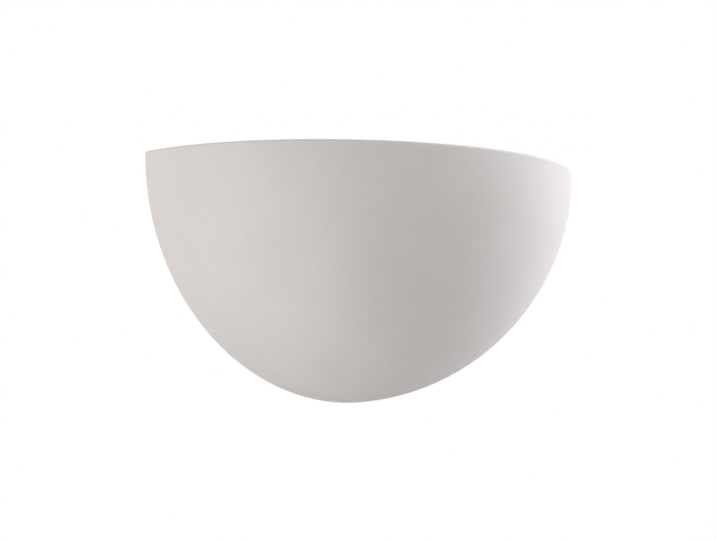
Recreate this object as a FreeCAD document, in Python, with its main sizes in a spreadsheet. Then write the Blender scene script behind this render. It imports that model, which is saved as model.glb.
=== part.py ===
import FreeCAD, Part
import math
import os
import re

import Sketcher
from FreeCAD import Placement, Rotation, Vector

# Uplighter wall sconce: a plain quarter-sphere ceramic bowl that hooks over two studs of a steel
# wall plate, with a lampholder on an arm, a screw lamp, a terminal block and the leads inside.
#
# Frame: millimetres, +Z up, +X to the right as seen from the room, +Y into the wall.
# The origin is midway between the two wall-screw slots, on the face that meets the wall.
#
# Two kinds of piece have a frame of their own.  A piece FROM_WALL is drawn with x to the right,
# y up and z out from the wall.  A piece ALONG_LAMP is drawn with z along the lamp, from the arm
# towards the tip of the globe, x down and y towards the wall.

FROM_WALL = Rotation(Vector(1, 0, 0), 90)
ALONG_LAMP = Rotation(Vector(0, 1, 0), 90)

# Two places nearer than this, in millimetres, are the same one.
SAME = 0.01
# An edge this far outside a nut's bore, in millimetres, is one of its corners.
PAST_BORE = 0.3

# Driving dimensions, in millimetres.
SIZES = [
    ("bowl_radius", 150.0, "outside radius of the quarter sphere"),
    ("bowl_wall", 7.0, "thickness of the bowl"),
    ("base_depth", 90.0, "depth of the bowl below the wall screws"),
    ("edge_round", 1.5, "rounding of the rim and of the edge at the wall"),
    ("flange_width", 30.0, "width of the flange inside the back of the bowl"),
    ("flange_thickness", 8.0, "thickness of that flange"),
    ("flange_recess", 6.0, "depth of the flange behind the edge at the wall"),
    ("flange_top_gap", 5.0, "step from the rim down to the ends of the flange"),
    ("flange_fillet", 3.0, "fillet between flange and bowl"),
    ("keyhole_slot", 5.5, "width of the narrow part of a keyhole"),
    ("keyhole_entry", 16.0, "diameter of the wide part of a keyhole"),
    ("lift_height", 12.0, "lift that brings the wide part to the stud"),
    ("face_gap", 0.05, "gap between faces that only rest on each other"),
    ("thread_gap", 0.02, "radial gap of a thread drawn plain"),
    ("screw_clearance", 0.2, "radial gap of a plain hole round a thread"),
    ("plate_width", 152.0, "width of the wall plate without its ears"),
    ("plate_height", 64.0, "height of the wall plate"),
    ("plate_thickness", 2.0, "thickness of the wall plate"),
    ("plate_corner", 6.0, "corner radius of the wall plate"),
    ("ear_height", 24.0, "height of the two ears that carry the studs"),
    ("stud_edge", 8.8031, "distance from a stud to the inner edge of the flange"),
    ("stud_diameter", 4.0, "thread diameter of a stud"),
    ("stud_length", 34.0, "distance from the wall to a stud's end"),
    ("stud_inset", 0.3, "distance from the wall to a stud's back end"),
    ("locknut_across", 7.0, "locknut across its flats"),
    ("locknut_thickness", 3.2, "locknut thickness"),
    ("washer_diameter", 14.0, "washer under a knurled nut"),
    ("washer_thickness", 1.5, "thickness of that washer"),
    ("knurl_diameter", 12.0, "knurled nut over its knurl"),
    ("knurl_length", 9.0, "length of the knurled part"),
    ("nut_collar", 3.0, "length of the plain collar of a knurled nut"),
    ("knurl_depth", 0.5, "depth of a groove of the knurl"),
    ("knurl_count", 24.0, "grooves round the knurl"),
    ("wall_screw_spacing", 60.0, "distance between the wall screws"),
    ("wall_slot_length", 14.0, "length of a wall-screw slot"),
    ("wall_slot_width", 4.5, "width of a wall-screw slot"),
    ("cable_bore", 10.0, "bore of the rubber bush that the cable comes through"),
    ("bush_diameter", 13.0, "bush where it passes the plate"),
    ("bush_flange", 20.0, "flange of the bush"),
    ("bush_length", 6.0, "length of the bush"),
    ("lamp_out", 62.0, "distance from the wall to the lamp's axis"),
    ("lamp_up", 7.0, "height of the lamp's axis above the wall screws"),
    ("arm_thickness", 1.5, "sheet of the lampholder's arm"),
    ("arm_width", 30.0, "width of the arm"),
    ("arm_foot", 26.0, "length of the arm's foot along the plate"),
    ("arm_bend", 3.0, "outside bend radius of the arm"),
    ("arm_screw_spacing", 16.0, "distance between the two screws of the arm"),
    ("arm_screw", 4.0, "thread diameter of the arm's screws"),
    ("nipple_diameter", 10.0, "thread of the hollow nipple"),
    ("nipple_bore", 6.8, "bore of the nipple"),
    ("nipple_back", 11.0, "reach of the nipple behind the arm's face"),
    ("nipple_depth", 5.5, "reach of the nipple into the lampholder"),
    ("nipple_nut_across", 14.0, "nipple nut across its flats"),
    ("nipple_nut_thickness", 3.0, "nipple nut thickness"),
    ("nipple_washer_diameter", 16.0, "toothed washer under the nipple nut"),
    ("nipple_washer_thickness", 0.8, "thickness of that washer"),
    ("holder_radius", 20.5, "outside radius of the lampholder"),
    ("mouth_reach", 23.0, "reach of the lampholder beyond the end contact"),
    ("cap_lap", 4.0, "lap of the lampholder's cap over the core"),
    ("cap_floor", 6.0, "thickness of the cap round the nipple"),
    ("holder_wall", 2.3, "wall of the lampholder's cap and shell"),
    ("core_radius", 16.0, "radius of the ceramic core"),
    ("core_length", 12.0, "length of the ceramic core"),
    ("core_bore", 1.6, "radius of the core's hole for the rivet"),
    ("holder_mouth", 14.3, "radius of the lampholder's mouth"),
    ("terminal_size", 6.0, "width of a terminal on the core"),
    ("terminal_length", 7.0, "length of a terminal on the core"),
    ("terminal_offset", 4.5, "distance from the lamp's axis to a lead's hole"),
    ("clamp_screw", 2.6, "thread diameter of the lead screws"),
    ("screw_shell_reach", 20.0, "reach of the holder's thread beyond the end contact"),
    ("screw_shell_minor", 12.3, "inside radius of the holder's thread"),
    ("screw_shell_major", 13.35, "bottom radius of the holder's thread"),
    ("screw_shell_outer", 13.9, "outside radius of the holder's threaded shell"),
    ("thread_pitch", 3.629, "pitch of the lamp's thread"),
    ("thread_lead", 1.0, "distance from the end contact to the first groove"),
    ("contact_depth", 37.0, "distance from the arm to the lamp's end contact"),
    ("contact_rise", 3.0, "rise of the end contact over the core"),
    ("button_radius", 4.6, "radius of the lamp's end contact"),
    ("button_thickness", 1.1, "thickness of the end contact"),
    ("pin_radius", 1.0, "radius of the pin behind the end contact"),
    ("pin_length", 4.0, "length of the end contact with its pin"),
    ("insulator_face", 6.5, "radius of the insulator round the end contact"),
    ("insulator_cone", 3.6, "distance from the end contact to the foot of the insulator's cone"),
    ("insulator_length", 6.0, "distance from the end contact to the insulator's end"),
    ("cap_sheet", 0.45, "sheet of the lamp's metal cap"),
    ("lamp_length", 108.0, "length of the lamp"),
    ("lamp_diameter", 60.0, "diameter of the lamp's globe"),
    ("lamp_thread_root", 12.05, "root radius of the lamp's thread"),
    ("lamp_thread_crest", 13.1, "crest radius of the lamp's thread"),
    ("lamp_cap_length", 26.0, "length of the lamp's metal cap with its contact"),
    ("globe_wall", 1.5, "wall of the globe"),
    ("globe_length", 42.0, "length of the globe from its edge"),
    ("collar_wall", 2.0, "wall of the lamp's collar"),
    ("driver_width", 18.0, "width of the lamp's driver board"),
    ("driver_gap", 3.0, "distance from the metal cap to the driver board"),
    ("led_board_thickness", 1.6, "thickness of the lamp's boards"),
    ("led_count", 10.0, "light sources on the lamp's board"),
    ("led_circle", 15.0, "radius of the circle that they stand on"),
    ("block_width", 17.0, "terminal block along the leads"),
    ("block_pitch", 10.0, "distance between the poles"),
    ("block_height", 9.0, "height of the block's base"),
    ("block_tower", 4.0, "height of the towers round its screws"),
    ("block_left", 46.0, "distance from the centre to the block"),
    ("block_up", 10.0, "height of the middle pole above the wall screws"),
    ("pole_out", 4.6, "height of a pole's axis above the plate"),
    ("tube_radius", 2.5, "outside radius of a pole's brass tube"),
    ("tube_bore", 1.6, "radius of its bore"),
    ("block_screw", 3.0, "thread diameter of the block's fixing screws"),
    ("lead_diameter", 2.2, "leads over their insulation"),
    ("lead_gap", 0.1, "radial gap round a lead in a hole"),
    ("earth_across", 22.0, "distance from the centre to the earth screw"),
    ("earth_up", 22.0, "height of the earth screw above the wall screws"),
    ("earth_screw", 4.0, "thread diameter of the earth screw"),
    ("clip_across", -23.0, "place of the lead clip along the plate"),
    ("clip_length", 8.0, "length of the lead clip"),
    ("lead_run_out", 8.0, "distance from the wall to the leads on the plate"),
    ("lead_run_drop", 22.0, "depth of the live lead below the wall screws"),
]

# Places worked out from the driving dimensions.
PLACES = [
    ("rim_height", "bowl_radius - base_depth"),
    ("bowl_inner", "bowl_radius - bowl_wall"),
    ("flange_inner", "bowl_inner - flange_width"),
    ("flange_outer", "bowl_radius - bowl_wall / 2"),
    ("flange_front", "flange_recess + flange_thickness"),
    ("stud_reach", "sqrt((flange_inner + stud_edge) ^ 2 - rim_height ^ 2)"),
    ("washer_back", "flange_front + face_gap"),
    ("nut_back", "washer_back + washer_thickness + face_gap"),
    ("nut_length", "nut_collar + knurl_length"),
    ("arm_face", "-plate_width / 2"),
    ("arm_screw_across", "arm_face + arm_foot - 9"),
    ("arm_front", "plate_thickness + arm_thickness"),
    ("core_front", "contact_depth - contact_rise"),
    ("core_back", "core_front - core_length"),
    ("cap_depth", "core_back + cap_lap"),
    ("terminal_back", "core_back - terminal_length"),
    ("holder_thread_start", "contact_depth + thread_lead"),
    ("screw_shell_end", "contact_depth + screw_shell_reach"),
    ("holder_length", "contact_depth + mouth_reach"),
    ("lamp_thread_start", "holder_thread_start + thread_pitch"),
    ("lamp_cap_end", "contact_depth + lamp_cap_length"),
    ("globe_radius", "lamp_diameter / 2"),
    ("globe_centre", "contact_depth + lamp_length - globe_radius"),
    ("globe_end", "contact_depth + lamp_length - globe_length"),
    ("globe_edge_radius", "sqrt(globe_radius ^ 2 - (globe_centre - globe_end) ^ 2)"),
    ("globe_inner", "globe_radius - globe_wall"),
    ("globe_edge_inner", "sqrt(globe_inner ^ 2 - (globe_centre - globe_end) ^ 2)"),
    ("led_board_back", "globe_end - 3"),
    ("led_board_front", "led_board_back + led_board_thickness"),
    ("block_centre", "block_left + block_width / 2"),
    ("block_front", "plate_thickness + block_height"),
    ("pole_axis", "plate_thickness + pole_out"),
    ("lead_radius", "lead_diameter / 2"),
    ("lead_hole", "lead_radius + lead_gap"),
    ("live_height", "-lead_run_drop"),
    ("neutral_height", "live_height - 2 * lead_diameter + 0.4"),
]

doc = FreeCAD.newDocument("uplighter_wall_sconce")
sheet = doc.addObject("Spreadsheet::Sheet", "Sizes")
places = doc.addObject("App::VarSet", "Places")
answers = doc.addObject("App::VarSet", "Answers")
answers.addProperty("App::PropertyFloat", "asked", "Answers", "value of the formula asked for last")


# ---------------------------------------------------------------- sizes and formulas

def fill_sheet():
    """Write each driving dimension, its value and its meaning on a row of the sheet."""
    for row, (name, number, meaning) in enumerate(SIZES, start=1):
        sheet.set(f"A{row}", name)
        sheet.set(f"B{row}", str(number))
        sheet.set(f"C{row}", meaning)
        sheet.setAlias(f"B{row}", name)
    doc.recompute()


def fill_places():
    """Give each worked-out place its formula."""
    for name, formula in PLACES:
        places.addProperty("App::PropertyFloat", name, "Places", formula)
    for name, formula in PLACES:
        places.setExpression(name, spelled_out(formula))
    doc.recompute()


def spelled_out(formula):
    """The formula with each plain name written as a cell of the sheet or a worked-out place."""
    sizes = {name for name, _number, _meaning in SIZES}
    worked_out = {name for name, _formula in PLACES}

    def full_name(match):
        word = match.group()
        if word in sizes:
            return f"Sizes.{word}"
        if word in worked_out:
            return f"Places.{word}"
        return word

    return re.sub(r"[a-z][a-z_0-9]*", full_name, formula)


def value(formula):
    """What a formula comes to, in millimetres."""
    answers.setExpression("asked", spelled_out(formula))
    answers.recompute()
    return answers.asked


def bind(thing, field, formula):
    """Tie one field of an object to a formula, unless it is a plain zero."""
    if formula != "0":
        thing.setExpression(field, spelled_out(formula))


# ---------------------------------------------------------------- pieces, sketches, features

def new_piece(label, turn, across="0", into_wall="0", up="0"):
    """A body with its own frame, turned and then set at a place worked out from the sheet."""
    body = doc.addObject("PartDesign::Body", label)
    body.Label = label
    body.Placement = Placement(Vector(0, 0, 0), turn)
    bind(body, "Placement.Base.x", across)
    bind(body, "Placement.Base.y", into_wall)
    bind(body, "Placement.Base.z", up)
    return body


def wall_piece(label, across="0", out="0", up="0"):
    """A piece drawn from the wall outwards."""
    return new_piece(label, FROM_WALL, across, f"-({out})", up)


def lamp_piece(label):
    """A piece drawn along the lamp's axis from the arm's inner face."""
    return new_piece(label, ALONG_LAMP, "arm_face", "-lamp_out", "lamp_up")


def new_sketch(body, name, plane, offset):
    """An empty sketch on one of the body's own planes, or parallel to it."""
    sketch = body.newObject("Sketcher::SketchObject", f"{body.Name}_{name}")
    support = next(item for item in body.Origin.OriginFeatures if item.Role == plane)
    sketch.AttachmentSupport = [(support, "")]
    sketch.MapMode = "FlatFace"
    bind(sketch, "AttachmentOffset.Base.z", offset)
    return sketch


def fix(sketch, kind, geometry, point, formula):
    """Hold one coordinate of a point of the sketch at a formula's value."""
    number = sketch.addConstraint(Sketcher.Constraint(kind, geometry, point, value(formula)))
    bind(sketch, f"Constraints[{number}]", formula)


def arc_centre(start, end, radius):
    """Centre of the arc, under a half circle, that is turned to the left for a radius over 0."""
    chord = end - start
    across = Vector(-chord.y, chord.x, 0) / chord.Length
    reach = math.sqrt(max(radius * radius - chord.Length ** 2 / 4, 0))
    return (start + end) / 2 + across * math.copysign(reach, radius)


def outline(body, name, points, plane="XY_Plane", offset="0"):
    """A closed sketch through points (x, y).  A third item is the radius of the arc that leads
    to the next point, over 0 where it turns left and under 0 where it turns right."""
    sketch = new_sketch(body, name, plane, offset)
    corners = [Vector(value(point[0]), value(point[1]), 0) for point in points]
    ends = []
    for index, point in enumerate(points):
        start = corners[index]
        end = corners[(index + 1) % len(points)]
        if len(point) == 2:
            sketch.addGeometry(Part.LineSegment(start, end))
            ends.append((1, 2))
            continue
        radius = value(point[2])
        centre = arc_centre(start, end, radius)
        circle = Part.Circle(centre, Vector(0, 0, 1), abs(radius))
        angles = [math.atan2(spot.y - centre.y, spot.x - centre.x) for spot in (start, end)]
        if radius < 0:
            angles.reverse()
        sketch.addGeometry(Part.ArcOfCircle(circle, angles[0], angles[1]))
        ends.append((1, 2) if radius > 0 else (2, 1))
    for index, point in enumerate(points):
        after = (index + 1) % len(points)
        sketch.addConstraint(
            Sketcher.Constraint("Coincident", index, ends[index][1], after, ends[after][0]))
        fix(sketch, "DistanceX", index, ends[index][0], point[0])
        fix(sketch, "DistanceY", index, ends[index][0], point[1])
        if len(point) == 3:
            number = sketch.addConstraint(
                Sketcher.Constraint("Radius", index, abs(value(point[2]))))
            bind(sketch, f"Constraints[{number}]", f"abs({point[2]})")
    return sketch


def circles(body, name, rounds, plane="XY_Plane", offset="0"):
    """A sketch of whole circles, each (x, y, radius)."""
    sketch = new_sketch(body, name, plane, offset)
    for index, (across, up, radius) in enumerate(rounds):
        centre = Vector(value(across), value(up), 0)
        sketch.addGeometry(Part.Circle(centre, Vector(0, 0, 1), value(radius)))
        fix(sketch, "DistanceX", index, 3, across)
        fix(sketch, "DistanceY", index, 3, up)
        number = sketch.addConstraint(Sketcher.Constraint("Radius", index, value(radius)))
        bind(sketch, f"Constraints[{number}]", radius)
    return sketch


def pad(sketch, length, both_ways=False):
    """Material from the sketch along its normal, or half to each side."""
    body = sketch.getParentGeoFeatureGroup()
    feature = body.newObject("PartDesign::Pad", f"{sketch.Name}_pad")
    feature.Profile = sketch
    if both_ways:
        feature.SideType = "Symmetric"
    bind(feature, "Length", length)
    doc.recompute()
    return feature


def pocket(sketch, length, forward=True, both_ways=False):
    """A cut from the sketch along its normal, against it, or half to each side."""
    body = sketch.getParentGeoFeatureGroup()
    before = body.Shape.Volume
    feature = body.newObject("PartDesign::Pocket", f"{sketch.Name}_cut")
    feature.Profile = sketch
    if both_ways:
        feature.SideType = "Symmetric"
    feature.Reversed = forward
    bind(feature, "Length", length)
    doc.recompute()
    if body.Shape.Volume >= before:
        raise RuntimeError(f"{feature.Name} cuts nothing")
    return feature


def turned(body, points, name="profile"):
    """Material turned about the body's z axis from an outline of points (radius, height)."""
    sketch = outline(body, name, points, "XZ_Plane")
    feature = body.newObject("PartDesign::Revolution", f"{body.Name}_{name}_turned")
    feature.Profile = sketch
    feature.ReferenceAxis = (sketch, ["V_Axis"])
    feature.Angle = 360
    doc.recompute()
    return feature


def around(feature, count):
    """Copies of a feature round the body's z axis."""
    body = feature.getParentGeoFeatureGroup()
    axis = next(item for item in body.Origin.OriginFeatures if item.Role == "Z_Axis")
    pattern = body.newObject("PartDesign::PolarPattern", f"{feature.Name}_round")
    pattern.Originals = [feature]
    pattern.Axis = (axis, [""])
    pattern.Angle = 360
    bind(pattern, "Occurrences", count)
    body.Tip = pattern
    doc.recompute()
    return pattern


def soften(body, kind, wanted, size):
    """Fillet or chamfer the edges of the body that a test picks out."""
    base = body.Tip
    shape = base.Shape
    names = [f"Edge{index + 1}" for index, edge in enumerate(shape.Edges) if wanted(edge)]
    feature = body.newObject(f"PartDesign::{kind}", f"{body.Name}_{kind.lower()}")
    feature.Base = (base, names)
    bind(feature, "Radius" if kind == "Fillet" else "Size", size)
    doc.recompute()
    return feature


def edge_spots(edge):
    """Three points of an edge, in the body's own frame."""
    first, last = edge.ParameterRange
    return [edge.valueAt(first + part * (last - first)) for part in (0.0, 0.5, 1.0)]


def copies(label, piece, spots):
    """One node of like pieces: the piece where it is made and a copy at each other spot, given
    as formulas for X, Y and Z."""
    members = [piece]
    for number, spot in enumerate(spots, start=2):
        copy = doc.addObject("App::Link", f"{label}_{number}")
        copy.LinkedObject = piece
        copy.Placement = Placement(Vector(0, 0, 0), piece.Placement.Rotation)
        for field, formula in zip("xyz", spot):
            bind(copy, f"Placement.Base.{field}", formula)
        members.append(copy)
    node = doc.addObject("Part::Compound", f"{label}_set")
    node.Label = label
    node.Links = members
    piece.Label = f"{label}_1"
    doc.recompute()
    return node


def half_slot(centre, straight, radius):
    """Points of a slot that lies along x, with its middle at centre."""
    left = f"{centre} - {straight}"
    right = f"{centre} + {straight}"
    return [
        (left, f"-({radius})"),
        (right, f"-({radius})", radius),
        (f"{right} + {radius}", "0", radius),
        (right, radius),
        (left, radius, radius),
        (f"{left} - {radius}", "0", radius),
    ]


def hexagon(across):
    """Corners of a hexagon of the given width across its flats."""
    corner = f"{across} / sqrt(3)"
    flat = f"{across} / 2"
    half = f"{across} / sqrt(12)"
    return [
        (corner, "0"),
        (half, flat),
        (f"-{half}", flat),
        (f"-{corner}", "0"),
        (f"-{half}", f"-{flat}"),
        (half, f"-{flat}"),
    ]


# ---------------------------------------------------------------- bowl

def ceramic_bowl():
    """Quarter-sphere shell with a keyholed flange inside its back.  Its own origin is the
    centre of the sphere, on the wall and level with the rim."""
    body = wall_piece("ceramic_bowl", up="rim_height")
    # The poles and the seam of both spheres lie in the parts that are cut away.
    poles_away = Rotation(Vector(1, 0, 0), 135) * Rotation(Vector(0, 0, 1), 90)
    for kind, radius in (("AdditiveSphere", "bowl_radius"), ("SubtractiveSphere", "bowl_inner")):
        ball = body.newObject(f"PartDesign::{kind}", f"{radius}_ball")
        ball.Placement = Placement(Vector(0, 0, 0), poles_away)
        bind(ball, "Radius", radius)
        doc.recompute()
    reach = "bowl_radius + 10"
    square = [
        (f"-({reach})", f"-({reach})"),
        (reach, f"-({reach})"),
        (reach, reach),
        (f"-({reach})", reach),
    ]
    pocket(outline(body, "wall_side", square), reach, forward=False)
    pocket(outline(body, "above_rim", square, "XZ_Plane"), reach, forward=False)

    def flange_corner(radius):
        return f"sqrt({radius} ^ 2 - flange_top_gap ^ 2)"

    flange = [
        (f"-{flange_corner('flange_outer')}", "-flange_top_gap", "flange_outer"),
        ("0", "-flange_outer", "flange_outer"),
        (flange_corner("flange_outer"), "-flange_top_gap"),
        (flange_corner("flange_inner"), "-flange_top_gap", "-flange_inner"),
        ("0", "-flange_inner", "-flange_inner"),
        (f"-{flange_corner('flange_inner')}", "-flange_top_gap"),
    ]
    pad(outline(body, "flange", flange, offset="flange_recess"), "flange_thickness")
    for side in ("left", "right"):
        pocket(outline(body, f"{side}_keyhole", keyhole(side)), "flange_front + 1")

    def on_outer_edge(edge):
        spots = edge_spots(edge)
        return all(abs(spot.y) < SAME for spot in spots) or all(abs(spot.z) < SAME for spot in spots)

    def on_flange_root(edge):
        front = value("flange_front")
        inner = math.sqrt(value("bowl_inner") ** 2 - front ** 2)
        return all(abs(spot.z - front) < SAME and abs(math.hypot(spot.x, spot.y) - inner) < SAME
                   for spot in edge_spots(edge))

    soften(body, "Fillet", on_flange_root, "flange_fillet")
    soften(body, "Fillet", on_outer_edge, "edge_round")
    return body


def keyhole(side):
    """Outline of a keyhole: a wide round hole with a slot above it that hangs on the stud."""
    middle = "-stud_reach" if side == "left" else "stud_reach"
    slot = "keyhole_slot / 2"
    entry = "keyhole_entry / 2"
    slot_top = "-rim_height + stud_diameter / 2 + face_gap"
    slot_centre = f"{slot_top} - {slot}"
    entry_centre = "-rim_height - lift_height"
    meeting = f"{entry_centre} + sqrt(({entry}) ^ 2 - ({slot}) ^ 2)"
    return [
        (f"{middle} + {slot}", slot_centre, slot),
        (middle, slot_top, slot),
        (f"{middle} - {slot}", slot_centre),
        (f"{middle} - {slot}", meeting, entry),
        (f"{middle} - {entry}", entry_centre, entry),
        (middle, f"{entry_centre} - {entry}", entry),
        (f"{middle} + {entry}", entry_centre, entry),
        (f"{middle} + {slot}", meeting),
    ]


# ---------------------------------------------------------------- wall plate and its fixings

def wall_plate():
    """Flat steel plate with an ear at each side for a stud."""
    body = wall_piece("wall_plate")
    wide = "plate_width / 2"
    high = "plate_height / 2"
    ear = "ear_height / 2"
    shape = [
        (f"-{wide}", f"-{high}"),
        (wide, f"-{high}"),
        (wide, f"-{ear}"),
        ("stud_reach", f"-{ear}", ear),
        (f"stud_reach + {ear}", "0", ear),
        ("stud_reach", ear),
        (wide, ear),
        (wide, high),
        (f"-{wide}", high),
        (f"-{wide}", ear),
        ("-stud_reach", ear, ear),
        (f"-stud_reach - {ear}", "0", ear),
        ("-stud_reach", f"-{ear}"),
        (f"-{wide}", f"-{ear}"),
    ]
    pad(outline(body, "sheet", shape), "plate_thickness")

    def upright_at_side(edge):
        spots = edge_spots(edge)
        level = abs(spots[0].x - spots[2].x) + abs(spots[0].y - spots[2].y) < SAME
        return level and abs(abs(spots[1].x) - value(wide)) < SAME

    soften(body, "Fillet", upright_at_side, "plate_corner")
    for side, middle in (("left", "-wall_screw_spacing / 2"), ("right", "wall_screw_spacing / 2")):
        slot = half_slot(middle, "(wall_slot_length - wall_slot_width) / 2", "wall_slot_width / 2")
        pocket(outline(body, f"{side}_wall_slot", slot), "plate_thickness + 1")
    holes = [
        ("-stud_reach", "0", "stud_diameter / 2 + thread_gap"),
        ("stud_reach", "0", "stud_diameter / 2 + thread_gap"),
        ("0", "0", "bush_diameter / 2"),
        ("arm_screw_across", "lamp_up - arm_screw_spacing / 2", "arm_screw / 2 + thread_gap"),
        ("arm_screw_across", "lamp_up + arm_screw_spacing / 2", "arm_screw / 2 + thread_gap"),
        ("block_centre", "block_up - block_pitch / 2", "block_screw / 2 + thread_gap"),
        ("block_centre", "block_up + block_pitch / 2", "block_screw / 2 + thread_gap"),
        ("earth_across", "earth_up", "earth_screw / 2 + thread_gap"),
    ]
    pocket(circles(body, "round_holes", holes), "plate_thickness + 1")
    return body


def cable_bush():
    """Rubber bush that guards the cable where it comes through the plate."""
    body = wall_piece("cable_bush")
    bore = "cable_bore / 2"
    barrel = "bush_diameter / 2"
    flange = "bush_flange / 2"
    turned(body, [
        (bore, "0"),
        (barrel, "0"),
        (barrel, "plate_thickness"),
        (flange, "plate_thickness"),
        (flange, "plate_thickness + 1.2", "2.6"),
        (f"{bore} + 2.4", "bush_length"),
        (bore, "bush_length"),
    ])
    return body


def bowl_studs():
    """Two threaded studs, screwed through the ears from the front."""
    piece = wall_piece("bowl_stud", across="-stud_reach")
    radius = "stud_diameter / 2"
    turned(piece, [
        ("0", "stud_inset"),
        (f"{radius} - 0.4", "stud_inset"),
        (radius, "stud_inset + 0.4"),
        (radius, "stud_length - 0.6"),
        (f"{radius} - 0.6", "stud_length"),
        ("0", "stud_length"),
    ])
    return copies("bowl_studs", piece, [("stud_reach", "0", "0")])


def hex_nut(piece, across, thickness, bore):
    """A hexagon nut with its bore, standing on the piece's own plane."""
    pad(outline(piece, "flats", hexagon(across)), thickness)
    pocket(circles(piece, "bore", [("0", "0", bore)]), f"{thickness} + 1")

    def at_corner(edge):
        spots = edge_spots(edge)
        if abs(spots[0].z - spots[2].z) > SAME:
            return False
        return math.hypot(spots[1].x, spots[1].y) > value(bore) + PAST_BORE

    soften(piece, "Chamfer", at_corner, "0.25")
    return piece


def stud_locknuts():
    """Two thin nuts that lock the studs in the plate."""
    piece = wall_piece("stud_locknut", across="-stud_reach", out="plate_thickness")
    hex_nut(piece, "locknut_across", "locknut_thickness", "stud_diameter / 2 + thread_gap")
    return copies("stud_locknuts", piece, [("stud_reach", "-plate_thickness", "0")])


def bowl_washer(side):
    """Plain washer between the bowl's flange and a knurled nut."""
    across = "-stud_reach" if side == "left" else "stud_reach"
    body = wall_piece(f"{side}_washer", across=across, out="washer_back")
    bore = "stud_diameter / 2 + 0.2"
    outer = "washer_diameter / 2"
    turned(body, [
        (bore, "0"),
        (f"{outer} - 0.2", "0"),
        (outer, "0.2"),
        (outer, "washer_thickness - 0.3"),
        (f"{outer} - 0.3", "washer_thickness"),
        (bore, "washer_thickness"),
    ])
    return body


def knurled_nut(side):
    """Nut tightened by hand, with straight grooves round its head."""
    across = "-stud_reach" if side == "left" else "stud_reach"
    body = wall_piece(f"{side}_knurled_nut", across=across, out="nut_back")
    bore = "stud_diameter / 2 + face_gap"
    head = "knurl_diameter / 2"
    turned(body, [
        (bore, "0"),
        (f"{head} - 1.6", "0"),
        (f"{head} - 1.2", "0.4"),
        (f"{head} - 1.2", "nut_collar"),
        (f"{head} - 0.4", "nut_collar"),
        (head, "nut_collar + 0.4"),
        (head, "nut_length - 0.8"),
        (f"{head} - 0.8", "nut_length"),
        (f"{bore} + 0.5", "nut_length"),
        (bore, "nut_length - 0.5"),
    ])
    groove = [
        (f"{head} - knurl_depth", "0"),
        (f"{head} + 0.3", "-knurl_depth - 0.1"),
        (f"{head} + 0.3", "knurl_depth + 0.1"),
    ]
    cut = pocket(outline(body, "groove", groove, offset="nut_collar"), "knurl_length + 1")
    around(cut, "knurl_count")
    return body


# ---------------------------------------------------------------- arm and nipple

def holder_arm():
    """Bent sheet arm that carries the lampholder clear of the plate."""
    body = wall_piece("holder_arm", up="lamp_up")
    outer = "arm_face - arm_thickness"
    tip = "lamp_out + arm_width / 2"
    bent = [
        (outer, "plate_thickness"),
        ("arm_face + arm_foot", "plate_thickness"),
        ("arm_face + arm_foot", "arm_front"),
        ("arm_face", "arm_front"),
        ("arm_face", tip),
        (outer, tip),
    ]
    pad(outline(body, "bend", bent, "XZ_Plane"), "arm_width", both_ways=True)

    def along_y(edge, x, z):
        spots = edge_spots(edge)
        return all(abs(spot.x - value(x)) < SAME and abs(spot.z - value(z)) < SAME
                   for spot in spots)

    soften(body, "Fillet", lambda edge: along_y(edge, outer, "plate_thickness"), "arm_bend")
    soften(body, "Fillet", lambda edge: along_y(edge, "arm_face", "arm_front"),
           "arm_bend - arm_thickness")

    def at_tip(edge):
        spots = edge_spots(edge)
        flat = abs(spots[0].x - spots[2].x) > SAME
        return flat and all(abs(spot.z - value(tip)) < SAME for spot in spots)

    def at_foot(edge):
        spots = edge_spots(edge)
        upright = abs(spots[0].z - spots[2].z) > SAME
        return upright and all(abs(spot.x - value("arm_face + arm_foot")) < SAME for spot in spots)

    soften(body, "Fillet", at_tip, "arm_width / 2 - 0.5")
    soften(body, "Fillet", at_foot, "3")
    screws = [
        ("arm_screw_across", "-arm_screw_spacing / 2", "arm_screw / 2 + screw_clearance"),
        ("arm_screw_across", "arm_screw_spacing / 2", "arm_screw / 2 + screw_clearance"),
    ]
    pocket(circles(body, "foot_holes", screws), "arm_front + 1")
    nipple = ("0", "lamp_out", "nipple_diameter / 2 + screw_clearance")
    hole = circles(body, "nipple_hole", [nipple], "YZ_Plane", "arm_face - arm_thickness - 1")
    pocket(hole, "arm_thickness + 2")
    return body


def pan_screw(piece, radius, tip, seat, head_radius, head_height):
    """A slotted pan-head screw from its tip to the top of its head."""
    turned(piece, [
        ("0", tip),
        (f"{radius} - 0.3", tip),
        (radius, f"{tip} + 0.3"),
        (radius, seat),
        (head_radius, seat),
        (head_radius, f"{seat} + {head_height} * 0.5", f"({head_height}) * 1.2"),
        (f"{head_radius} * 0.6", f"{seat} + {head_height}"),
        ("0", f"{seat} + {head_height}"),
    ])
    slot = f"{head_radius} * 0.2"
    reach = f"{head_radius} + 1"
    cut = [
        (f"-({reach})", f"-({slot})"),
        (reach, f"-({slot})"),
        (reach, slot),
        (f"-({reach})", slot),
    ]
    offset = f"{seat} + {head_height} * 0.5"
    pocket(outline(piece, "driver_slot", cut, offset=offset), head_height)
    return piece


def arm_screws():
    """Two screws that hold the arm to the plate."""
    low = "lamp_up - arm_screw_spacing / 2"
    high = "lamp_up + arm_screw_spacing / 2"
    piece = wall_piece("arm_screw_piece", across="arm_screw_across", up=low)
    pan_screw(piece, "arm_screw / 2", "0.3", "arm_front", "arm_screw", "2.6")
    return copies("arm_screws", piece, [("arm_screw_across", "0", high)])


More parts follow.
